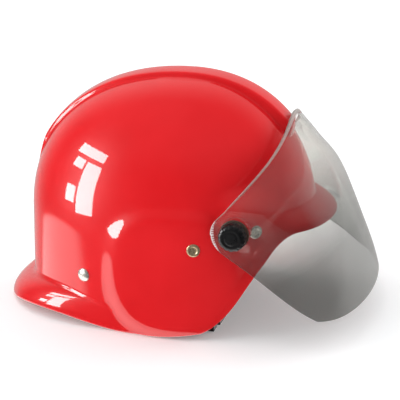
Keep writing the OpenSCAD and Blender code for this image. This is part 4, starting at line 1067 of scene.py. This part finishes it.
def tape_path(pin):
    """Middle line of a tape in its plane: distance from the axis, and height.

    It runs from the tail round the bar and over the head. Also returns the plane's turn, the direction in
    which the tape leaves the bar, the one away from the head, and the bar's place.
    """
    turn = math.atan2(pin[1], pin[0])
    bar = np.array([math.hypot(pin[0], pin[1]) - BAR_BACK, pin[2]])
    at = math.atan2(math.sin(turn) / (BAND_WIDTH + HEAD_GAP), math.cos(turn) / (BAND_LENGTH + HEAD_GAP))
    head = np.linalg.norm(band_oval(at, HEAD_GAP))
    touch = math.acos(head / bar[0])
    b = np.linspace(touch, math.radians(CROWN_END), 40)
    over = circle(b) * [head + TAPE_WALL / 2, CROWN_RISE + TAPE_WALL / 2]
    ahead = unit(over[0] - bar)
    outward = np.array([ahead[1], -ahead[0]])
    loop = BAR_RADIUS + SOFT_GAP + TAPE_WALL / 2
    s = np.linspace(0, TAIL_LENGTH, 12)[:, None]
    spread_out = mix(loop, TAPE_WALL / 2, smooth(s / (TAIL_LENGTH - LAST_FLAT)))
    tail = bar + s[::-1] * ahead - (spread_out[::-1] + LAYER_GAP) * outward
    t = np.linspace(-math.pi / 2, -3 * math.pi / 2, 22)[1:-1, None]
    round_bar = bar + loop * (np.cos(t) * ahead + np.sin(t) * outward)
    leave = bar + s * ahead + spread_out * outward
    rest = over[over[:, 1] > leave[-1, 1] + 1]
    return np.concatenate([tail, round_bar, leave, rest]), turn, ahead, outward, bar


def lift(path, turn, side):
    """A path in a tape's plane to the suspension's frame, on the left (1) or right (-1)."""
    return xyz(path[:, 0] * math.cos(turn), side * path[:, 0] * math.sin(turn), path[:, 1])


def suspension(points):
    """Suspension millimetres to metres in the row frame."""
    return to_frame(from_harness(points))


tape_seams = []
for row in ("front", "rear"):
    strips = []
    path, turn, ahead, outward, bar = tape_path(hanger_pin(*SEATS[row]))
    reach = np.array([[TAIL_LENGTH - ROW_LENGTH], [TAIL_LENGTH]])
    sewn = bar + reach * ahead - (1.5 * TAPE_WALL + 0.1) * outward
    for side in SIDES:
        across = np.array([-math.sin(turn), side * math.cos(turn), 0])
        strips.append(webbing(resample(lift(path, turn, side), 1.5), across, TAPE_WIDTH, TAPE_WALL))
        for share in TAIL_ROWS:
            tape_seams.append(seam(lift(sewn, turn, side) + across * TAPE_WIDTH * share))
    tapes = join_webbing("tape_pair_" + row, strips, tape_weave, suspension)
    hand_over(tapes, "crown_tapes_" + row, "helmet", "tape_white")
sew("tape_stitches", tape_seams, pale_thread, suspension)

# %% [markdown]
# The chin strap hangs from a pin behind each middle rivet, turns inside the ear cover and lies across the
# opening. Its halves meet in the buckle. Each is sewn below its pin with a box of stitches and a cross.

# %% Chin straps
STRAP_WIDTH, FLOOR_Z, STRAP_BEND = 20, 2, 9
STRAP_X, STRAP_TOP = middle_seat[0], middle_seat[2]
PIN_Y, PIN_RADIUS = 90.5, 2.5
LOOP_IN = 1.9
PLUG_BAR, SOCKET_BAR = -16.8, -60
STRAPS = {"chin_strap_left": (1, PLUG_BAR, 15), "chin_strap_right": (-1, -SOCKET_BAR, 10)}
BOX_HALF, BOX_TOP, BOX_LOW = 7.5, 16, 32


def strap_path(bar_y, tail):
    """Middle line of a strap, from its tail over the pin, down, across and round the buckle's bar.

    The points hold the distance to the side, and the height.
    """
    pin = np.array([PIN_Y, STRAP_TOP])
    around = PIN_RADIUS + SOFT_GAP + TAPE_WALL / 2
    wall_y = PIN_Y - around
    low = FLOOR_Z + TAPE_WALL / 2
    bend = STRAP_BEND - TAPE_WALL / 2
    end = LOOP_IN + TAPE_WALL / 2
    back = wall_y + TAPE_WALL + LAYER_GAP
    start = [[back, pin[1] - 34], [back, pin[1] - 14], [back + 0.8, pin[1] - 9]]
    over = arc_2d(pin, around, -20, 180, 22)
    down = [[wall_y, low + bend + 0.01]]
    corner = arc_2d([wall_y - bend, low + bend], bend, 0, -90, 12)
    last = arc_2d([bar_y, low + end], end, -90, -270, 16)
    close = [[bar_y + 4, low + 2 * end - 0.7], [bar_y + 8, low + TAPE_WALL + 0.5],
             [bar_y + tail, low + TAPE_WALL + 0.1]]
    return resample(np.concatenate([start, over, down, corner, last, close]), 1.4)


strap_seams = []
for name, (side, bar_y, tail) in STRAPS.items():
    path = strap_path(bar_y, tail)
    flat = xyz(STRAP_X, side * path[:, 0], path[:, 1])
    strap = join_webbing(name + "_web", [webbing(flat, [1, 0, 0], STRAP_WIDTH, TAPE_WALL)], strap_weave)
    hand_over(strap, name, "helmet", "strap_black")
    inside = side * (PIN_Y - PIN_RADIUS - SOFT_GAP - TAPE_WALL - 0.05)
    corners = [[STRAP_X + x, inside, STRAP_TOP - z]
               for x in (-BOX_HALF, BOX_HALF) for z in (BOX_TOP, BOX_LOW)]
    for start, end in ((0, 1), (2, 3), (0, 2), (1, 3), (0, 3), (1, 2)):
        strap_seams.append(seam([corners[start], corners[end]]))
sew("strap_stitches", strap_seams, thread)

# %% [markdown]
# Pads are foam in a knitted or leather cover. The foam pushes the cover out and the seams hold it in: the
# Cloth solver's pressure and pins do the same. Each pad starts as a flat closed lens, is remeshed to even
# faces, and swells for twenty frames; no point moves further than a cap. The solver is steadier on larger
# faces, so the cover is ten times its size meanwhile. Where the pad rests on something, it stays flat.

# %% Filling a cover
GROWN, FRAMES, PRESSURE = 10, 20, 16.0
LENS_RINGS = 20
QUILT_HOLD, RIM_HOLD = 0.8, 0.7


def even_cover(points, faces, voxel_mm):
    """A closed cover, grown, with even quads."""
    cover = new_object("cover", new_mesh("cover", points * GROWN * MM, faces))
    even = cover.modifiers.new("even", "REMESH")
    even.mode, even.voxel_size = "VOXEL", voxel_mm * GROWN * MM
    graph = bpy.context.evaluated_depsgraph_get()
    cover.data = bpy.data.meshes.new_from_object(cover.evaluated_get(graph), depsgraph=graph)
    cover.modifiers.clear()
    return cover


def fill_cover(points, faces, held, voxel_mm, cap_mm):
    """Swells a cover of millimetre points, held by pin weights. Returns its points and faces."""
    cover = even_cover(points, faces, voxel_mm)
    start = vertices_of(cover.data) / (GROWN * MM)
    pins = cover.vertex_groups.new(name="pins")
    for index, weight in enumerate(held(start)):
        pins.add([index], float(weight), "REPLACE")
    filling = cover.modifiers.new("filling", "CLOTH")
    cloth = filling.settings
    cloth.vertex_group_mass = "pins"
    cloth.use_pressure = True
    cloth.uniform_pressure_force = PRESSURE
    cloth.effector_weights.gravity = 0
    filling.point_cache.frame_start, filling.point_cache.frame_end = 1, FRAMES
    for frame_number in range(1, FRAMES + 1):
        bpy.context.scene.frame_set(frame_number)
    graph = bpy.context.evaluated_depsgraph_get()
    moved = vertices_of(cover.evaluated_get(graph).data) / (GROWN * MM) - start
    bpy.context.scene.frame_set(1)
    far = np.maximum(np.linalg.norm(moved, axis=1, keepdims=True), 1e-9)
    print("cover of", len(start), "points moved up to", far.max().round(2), "mm before the cap")
    start = start + moved / far * cap_mm * np.tanh(far / cap_mm)
    quads = [list(p.vertices) for p in cover.data.polygons]
    bpy.data.objects.remove(cover)
    return start, quads


def finish_pad(name, node, points, faces, finish, slot, uv, place=to_frame):
    pad = make_piece(name, place(points), faces, finish, uv * MM)
    finer = pad.modifiers.new("finer", "SUBSURF")
    finer.levels = finer.render_levels = 1
    hand_over(pad, node, "helmet", slot)


def in_seam(distance, width):
    """1 on a seam, falling to 0 at width from it."""
    return np.clip(1.5 - np.abs(distance) / width, 0, 1) ** 2


def lens(outline, half):
    """Points and faces of a flat closed lens over an outline, from -half to half in height."""
    spokes, count = len(outline), 2 * LENS_RINGS - 1
    out, back = np.linspace(0, 1, LENS_RINGS + 1)[1:], np.linspace(1, 0, LENS_RINGS + 1)[1:-1]
    shares = np.concatenate([out, back])
    height = half * np.maximum(0, 1 - shares**6) ** 0.5 * np.where(np.arange(count) < LENS_RINGS, 1, -1)
    xy = outline[:, None] * shares[None, :, None]
    points = xyz(xy[..., 0], xy[..., 1], height).reshape(-1, 3)
    return np.concatenate([points, [[0, 0, half], [0, 0, -half]]]), round_faces(spokes, count)


# %% [markdown]
# The brow pad wraps the front of the headband, quilted across into soft blocks.

# %% Brow pad
BROW_SPAN, BROW_LOW, BROW_HIGH, BROW_THICK, BROW_STEP = 34, -14, 15, 5, 17.6
BROW_RADIUS, BROW_MARGIN = 88, 0.6
brow_long = 2 * math.radians(BROW_SPAN) * BROW_RADIUS
round_line = circle(np.radians(np.linspace(0, 360, 181)[:-1]))
brow_line = np.sign(round_line) * np.abs(round_line) ** 0.25
half_size = np.array([brow_long, BROW_HIGH - BROW_LOW]) / 2 - BROW_MARGIN


def wrap_brow(flat):
    """Wraps a flat pad (along, up, depth) round the headband; depth grows towards the head."""
    spine = band_oval(flat[:, 0] / BROW_RADIUS, -SOFT_GAP - BROW_THICK / 2)
    inward = -unit(spine * [1 / BAND_LENGTH**2, 1 / BAND_WIDTH**2])
    xy = spine + inward * flat[:, 2:]
    return np.concatenate([xy, flat[:, 1:2] + (BROW_LOW + BROW_HIGH) / 2], axis=-1)


def brow_seams(p):
    """Seams across the pad and round its rim."""
    across = np.abs((p[:, 0] / BROW_STEP + 0.5) % 1 - 0.5) * BROW_STEP
    rim = np.minimum(half_size[0] - np.abs(p[:, 0]), half_size[1] - np.abs(p[:, 1]))
    return np.maximum(in_seam(across, QUILT_HOLD), in_seam(np.maximum(0, rim), RIM_HOLD))


flat, faces = lens(brow_line * half_size, 1.5)
swollen, faces = fill_cover(flat, faces, brow_seams, 1.3, 1.9)
swollen[:, 2] = np.maximum(swollen[:, 2], -BROW_THICK / 2)
finish_pad("brow_cover", "brow_pad", wrap_brow(swollen), faces, pad_knit, "pad_foam", swollen[:, :2],
           suspension)

# %% [markdown]
# The crown pad is a disc under the crossing of the tapes, sewn round and across into four petals.

# %% Crown pad
CROWN_PAD_RADIUS, CROWN_PAD_WALL, PAD_REACH, CROWN_SEAM = 26, 4, 90, 15
PAD_MARGIN, NO_SEAM = 0.4, 9


def crown_seams(p):
    """A round seam, a cross inside it, and the rim."""
    r = np.hypot(p[:, 0], p[:, 1])
    spokes = np.where(r < CROWN_SEAM, np.minimum(np.abs(p[:, 0]), np.abs(p[:, 1])), NO_SEAM)
    return np.maximum(in_seam(np.minimum(spokes, np.abs(r - CROWN_SEAM)), QUILT_HOLD),
                      in_seam(np.maximum(0, CROWN_PAD_RADIUS - PAD_MARGIN - r), RIM_HOLD))


flat, faces = lens(round_line * (CROWN_PAD_RADIUS - PAD_MARGIN), 1.2)
swollen, faces = fill_cover(flat, faces, crown_seams, 1.2, 1.5)
swollen[:, 2] = np.minimum(swollen[:, 2], CROWN_PAD_WALL / 2)
r = np.hypot(swollen[:, 0], swollen[:, 1])
bowl = CROWN_RISE * np.sqrt(1 - (r / PAD_REACH) ** 2) - SOFT_GAP - CROWN_PAD_WALL / 2
crown = swollen + xyz(0, 0, bowl)
finish_pad("crown_cover", "crown_pad", crown, faces, pad_knit, "pad_foam", swollen[:, :2], suspension)

# %% [markdown]
# The chin pad is a cushion of soft leather that lies on the strap, with stitches inside its edge.

# %% Chin pad
CHIN_HALF, CHIN_LONG, CHIN_THICK, CHIN_Y, CHIN_SEAM = 15, 25, 5, 27, 0.82
STITCH_HEIGHT, CHIN_RIM = 1.6, 0.97
chin_middle = np.array([STRAP_X, CHIN_Y, FLOOR_Z + TAPE_WALL + SOFT_GAP + CHIN_THICK / 2])
chin_size = np.array([CHIN_HALF, CHIN_LONG])
chin_line = np.sign(round_line) * np.abs(round_line) ** 0.5 * (chin_size - PAD_MARGIN)


def chin_seams(p):
    """A seam inside the edge, and the rim."""
    share = ((np.abs(p[:, :2]) / chin_size) ** 4).sum(axis=1) ** 0.25
    return np.maximum(in_seam((share - CHIN_SEAM) * CHIN_HALF, RIM_HOLD),
                      in_seam(np.maximum(0, CHIN_RIM - share) * CHIN_HALF, RIM_HOLD))


flat, faces = lens(chin_line, 1.5)
swollen, faces = fill_cover(flat, faces, chin_seams, 1.2, 1.9)
swollen[:, 2] = np.maximum(swollen[:, 2], -CHIN_THICK / 2)
finish_pad("chin_cover", "chin_pad", swollen + chin_middle, faces, leather, "pad_leather", swollen[:, :2])
seam_line = xyz(*(chin_line * CHIN_SEAM).T, STITCH_HEIGHT) + chin_middle
sew("chin_stitches", [seam(np.concatenate([seam_line, seam_line[:1]]))], thread)

# %% [markdown]
# The impact liner follows the dome at a fixed depth, down to a plane above the headband. It is drawn from
# the shell's own oval, finely enough for its rounded lower edge.

# %% Impact liner
LINER_WALL, LINER_GAP, LINER_LOW = 15, 1.4, 30
LINER_COLUMNS, LINER_ROWS, ROUNDED_ROWS, EDGE_ROUND = 144, 44, 6, 3.5
outer_depth = SHELL_WALL + LINER_GAP
around = np.radians(np.arange(LINER_COLUMNS) * 360 / LINER_COLUMNS)
half_around = np.abs(np.where(around > np.pi, around - 2 * np.pi, around))


def liner_radius(z, depth):
    """Reach of the liner's skin at a height, depth below the shell's outside."""
    top = DOME_TOP - depth
    level = DOME_LEVEL + (z - DOME_LEVEL) * (DOME_TOP - DOME_LEVEL) / (top - DOME_LEVEL)
    return (plan_radius(half_around) - depth) * dome_share(half_around, level)


def liner_edge(depth):
    """Where the skin meets the lower plane: a height put in again until it holds."""
    z = np.full(LINER_COLUMNS, 120.0)
    for _ in range(8):
        z = (FRAME_Z + (liner_radius(z, depth) * np.cos(around) - FRAME_X) * math.tan(TILT)
             + LINER_LOW / math.cos(TILT))
    return z


def liner_skin(depth):
    """Rows of points from the top down to the lower edge."""
    low = liner_edge(depth)
    rings = []
    for j in range(1, LINER_ROWS + 1):
        z = low + (DOME_TOP - depth - low) * math.cos(math.pi / 2 * j / LINER_ROWS)
        r = liner_radius(z, depth)
        rings.append(xyz(r * np.cos(around), r * np.sin(around), z))
    return np.stack(rings, axis=1)


def rounded(edge, up, over):
    """Points of a rounded edge, from the upright skin to the lower face."""
    return [edge + EDGE_ROUND * ((1 - math.sin(t)) * up + (1 - math.cos(t)) * over)
            for t in np.radians([0, 30, 60, 90])]


skin_out, skin_in = liner_skin(outer_depth), liner_skin(outer_depth + LINER_WALL)
edge_out, edge_in = skin_out[:, -1], skin_in[:, -1]
over = unit(edge_in - edge_out)
outer_edge = rounded(edge_out, unit(skin_out[:, -2] - edge_out), over)
inner_edge = rounded(edge_in, unit(skin_in[:, -2] - edge_in), -over)
edge_rows = np.stack(outer_edge + inner_edge[::-1], axis=1)
keep = LINER_ROWS - ROUNDED_ROWS
liner = np.concatenate([skin_out[:, :keep], edge_rows, skin_in[:, :keep][:, ::-1]], axis=1)
top = DOME_TOP - outer_depth
points = np.concatenate([liner.reshape(-1, 3), [[0, 0, top], [0, 0, top - LINER_WALL]]])
liner_cap = make_piece("liner_cap", to_frame(points), round_faces(*liner.shape[:2]), liner_foam)
hand_over(liner_cap, "impact_liner", "helmet", "liner_foam")

# %% [markdown]
# ## Pieces that stay as the CAD has them
# Bolts, washers, anchors, hangers, the headband and the nape ratchet have their right shape already. They
# only take their finish, and their round faces are shaded smooth up to the edges.

# %% Finishes for the CAD pieces
FINISHES = {
    steel: ["pivot_bolt_left", "pivot_bolt_right", "spring_washers", "anchors_front", "anchors_middle",
            "anchors_rear", "cover_screws"],
    nickel: ["band_studs"],
    natural_nylon: ["pivot_bushes", "nape_pinion"],
    fibre: ["friction_washers"],
    band_plastic: ["headband", "hangers_front", "hangers_rear", "band_tongue_left", "band_tongue_right",
                   "nape_housing", "nape_cover"],
    knob_nylon: ["nape_knob"],
    buckle_acetal: ["strap_sliders", "buckle_socket", "buckle_plug"],
}
SHARP_FROM = 28


def shade_round_faces(mesh):
    """Gives each triangle's corner the mean normal of the faces that meet there at a small angle."""
    mesh.shade_smooth()
    corner = np.empty(len(mesh.loops), int)
    mesh.loops.foreach_get("vertex_index", corner)
    places = vertices_of(mesh)[corner].reshape(-1, 3, 3)
    ahead = unit(np.roll(places, -1, axis=1) - places)
    behind = unit(np.roll(places, 1, axis=1) - places)
    weight = np.arccos(np.clip((ahead * behind).sum(axis=-1), -1, 1)).reshape(-1, 1)
    face = np.repeat(unit(np.cross(ahead[:, 0], behind[:, 0])), 3, axis=0)
    spot = np.unique((places.reshape(-1, 3) / MM * 1000).round(), axis=0, return_inverse=True)[1].ravel()
    order = np.argsort(spot, kind="stable")
    shaded = face.copy()
    for meeting in np.split(order, np.flatnonzero(np.diff(spot[order])) + 1):
        near = face[meeting] @ face[meeting].T > math.cos(math.radians(SHARP_FROM))
        shaded[meeting] = unit(near @ (face[meeting] * weight[meeting]))
    mesh.normals_split_custom_set(shaded.tolist())


for finish, names in FINISHES.items():
    for name in names:
        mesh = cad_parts[name].data
        mesh.materials.clear()
        mesh.materials.append(finish.material)
        shade_round_faces(mesh)
print("CAD pieces finished:", sum(len(names) for names in FINISHES.values()))

# %% [markdown]
# ## The picture
# A pale floor runs out under a white backdrop. Behind the object the room is bright, and behind the camera
# it is dim: this is what the gloss mirrors. The floor itself isn't mirrored, because its white would wash
# out the red. A window stands at the left. Its panes bend over the dome as they do over any glossy helmet.

# %% Floor
FLOOR_HALF, FLOOR_DROP = 6.0, 0.0003
# The floor glows faintly though it is no lamp: painted light that lifts the helmet's shadow on it and
# lights the helmet a little from below.
glowing_floor_finish = Finish("pale_floor_with_painted_glow", Roughness=0.6, **{
    "Emission Color": colour("#ffffff"), "Emission Strength": 0.16})
glowing_floor_finish.paint(glowing_floor_finish.grain(200, 1), "#f6f6f6", "#fafafa")
corners = [[FLOOR_HALF * x, FLOOR_HALF * y, 0] for x, y in ((-1, -1), (1, -1), (1, 1), (-1, 1))]
floor = make_piece("floor", corners, [[0, 1, 2, 3]], glowing_floor_finish)
floor.location.z = -FLOOR_DROP
floor.visible_glossy = False

# %% World
world = bpy.data.worlds.new("studio")
bpy.context.scene.world = world
world.use_nodes = True
tree = world.node_tree
tree.nodes.clear()
direction = add(tree, "ShaderNodeTexCoord").outputs["Generated"]
toward = add(tree, "ShaderNodeSeparateXYZ", links={0: direction}).outputs


def share(source, start, end, low=0.0, high=1.0):
    """A smooth step from low to high as source runs from start to end."""
    return add(tree, "ShaderNodeMapRange", {1: start, 2: end, 3: low, 4: high}, {0: source},
               interpolation_type="SMOOTHSTEP").outputs[0]


TABLE_SLANT = 0.45
backdrop = share(toward["Y"], 0.12, 0.75, 0.0, 0.6)
lowered = maths(tree, "MULTIPLY_ADD", toward["X"], TABLE_SLANT, toward["Z"])
table = share(lowered, -0.72, -0.755, 0.0, 2.3)
walls = share(toward["Z"], 0.25, 0.75, 0.04, 0.22)
glow = maths(tree, "ADD", maths(tree, "MAXIMUM", backdrop, table), walls)
seen = add(tree, "ShaderNodeBackground", {"Color": colour("#ffffff"), "Strength": 1.0})
lit = add(tree, "ShaderNodeBackground", {"Color": colour("#eceef0"), "Strength": 0.75})
dim = add(tree, "ShaderNodeBackground", {"Color": colour("#f4f2f0")}, {"Strength": glow})
ray = add(tree, "ShaderNodeLightPath").outputs
scattered, in_gloss = share(ray["Diffuse Depth"], 0, 1), share(ray["Glossy Depth"], 0, 1)
mirrored = add(tree, "ShaderNodeMixShader", links={0: in_gloss, 1: lit.outputs[0], 2: dim.outputs[0]})
straight = maths(tree, "SUBTRACT", 1.0, maths(tree, "MAXIMUM", scattered, in_gloss))
both = add(tree, "ShaderNodeMixShader", links={0: straight, 1: mirrored.outputs[0], 2: seen.outputs[0]})
add(tree, "ShaderNodeOutputWorld", links={0: both.outputs[0]})

# %% Lamps
def soft_lamp(name, place, aim, size, watts, mirrored=False):
    """A rectangular area lamp that faces a point; only a window pane is mirrored in the gloss."""
    light = bpy.data.lights.new(name, "AREA")
    light.shape, light.energy = "RECTANGLE", watts
    light.size, light.size_y = size
    lamp = new_object(name, light)
    lamp.location = place
    lamp.rotation_euler = (Vector(aim) - Vector(place)).to_track_quat("-Z", "Y").to_euler()
    lamp.visible_camera = lamp.visible_transmission = False
    lamp.visible_glossy, lamp.visible_diffuse = mirrored, not mirrored


soft_lamp("ceiling", (-0.9, 0.2, 2.0), (0, 0, 0.1), (2.0, 1.8), 12)
soft_lamp("side", (-2.2, -1.1, 1.3), (0, 0, 0.1), (1.6, 1.4), 24)
soft_lamp("fill", (1.5, 1.1, 0.9), (0.1, 0, 0), (1.4, 1.2), 20)

# %% Window
WINDOW_AIM = Vector((-0.08, -0.08, 0.14))
WINDOW_WAY = Vector((-0.88, -0.46, 0.06)).normalized()
WINDOW_FAR = 0.6
PANE_LIGHT = 17.0
window_side = WINDOW_WAY.cross(Vector((0, 0, 1))).normalized()
window_up = window_side.cross(WINDOW_WAY).normalized()
PANES = {"transom": (0.06, 0.245, 0.34, 0.085), "main": (-0.035, -0.018, 0.165, 0.365),
         "narrow_top": (0.13, 0.13, 0.12, 0.075), "narrow_low": (0.12, -0.09, 0.1, 0.11)}
for name, (across, up, width, height) in PANES.items():
    place = WINDOW_AIM + WINDOW_WAY * WINDOW_FAR + window_side * across + window_up * up
    watts = PANE_LIGHT * math.pi * width * height
    soft_lamp("pane_" + name, place, place - WINDOW_WAY, (width, height), watts, True)

# %% Camera
TURN, LOOK_DOWN = math.radians(14), math.radians(20)
FAR, SEEN_WIDTH = 2.5, 0.400 / 1.07
TARGET = Vector((0.0067, 0, 0.0982))
level = math.cos(LOOK_DOWN)
look = Vector((-math.sin(TURN) * level, math.cos(TURN) * level, -math.sin(LOOK_DOWN)))
camera = new_object("camera", bpy.data.cameras.new("camera"))
camera.location = TARGET - look * FAR
camera.rotation_euler = look.to_track_quat("-Z", "Y").to_euler()
camera.data.lens = camera.data.sensor_width * FAR / SEEN_WIDTH
bpy.context.scene.camera = camera
bpy.context.scene.view_settings.view_transform = "Standard"
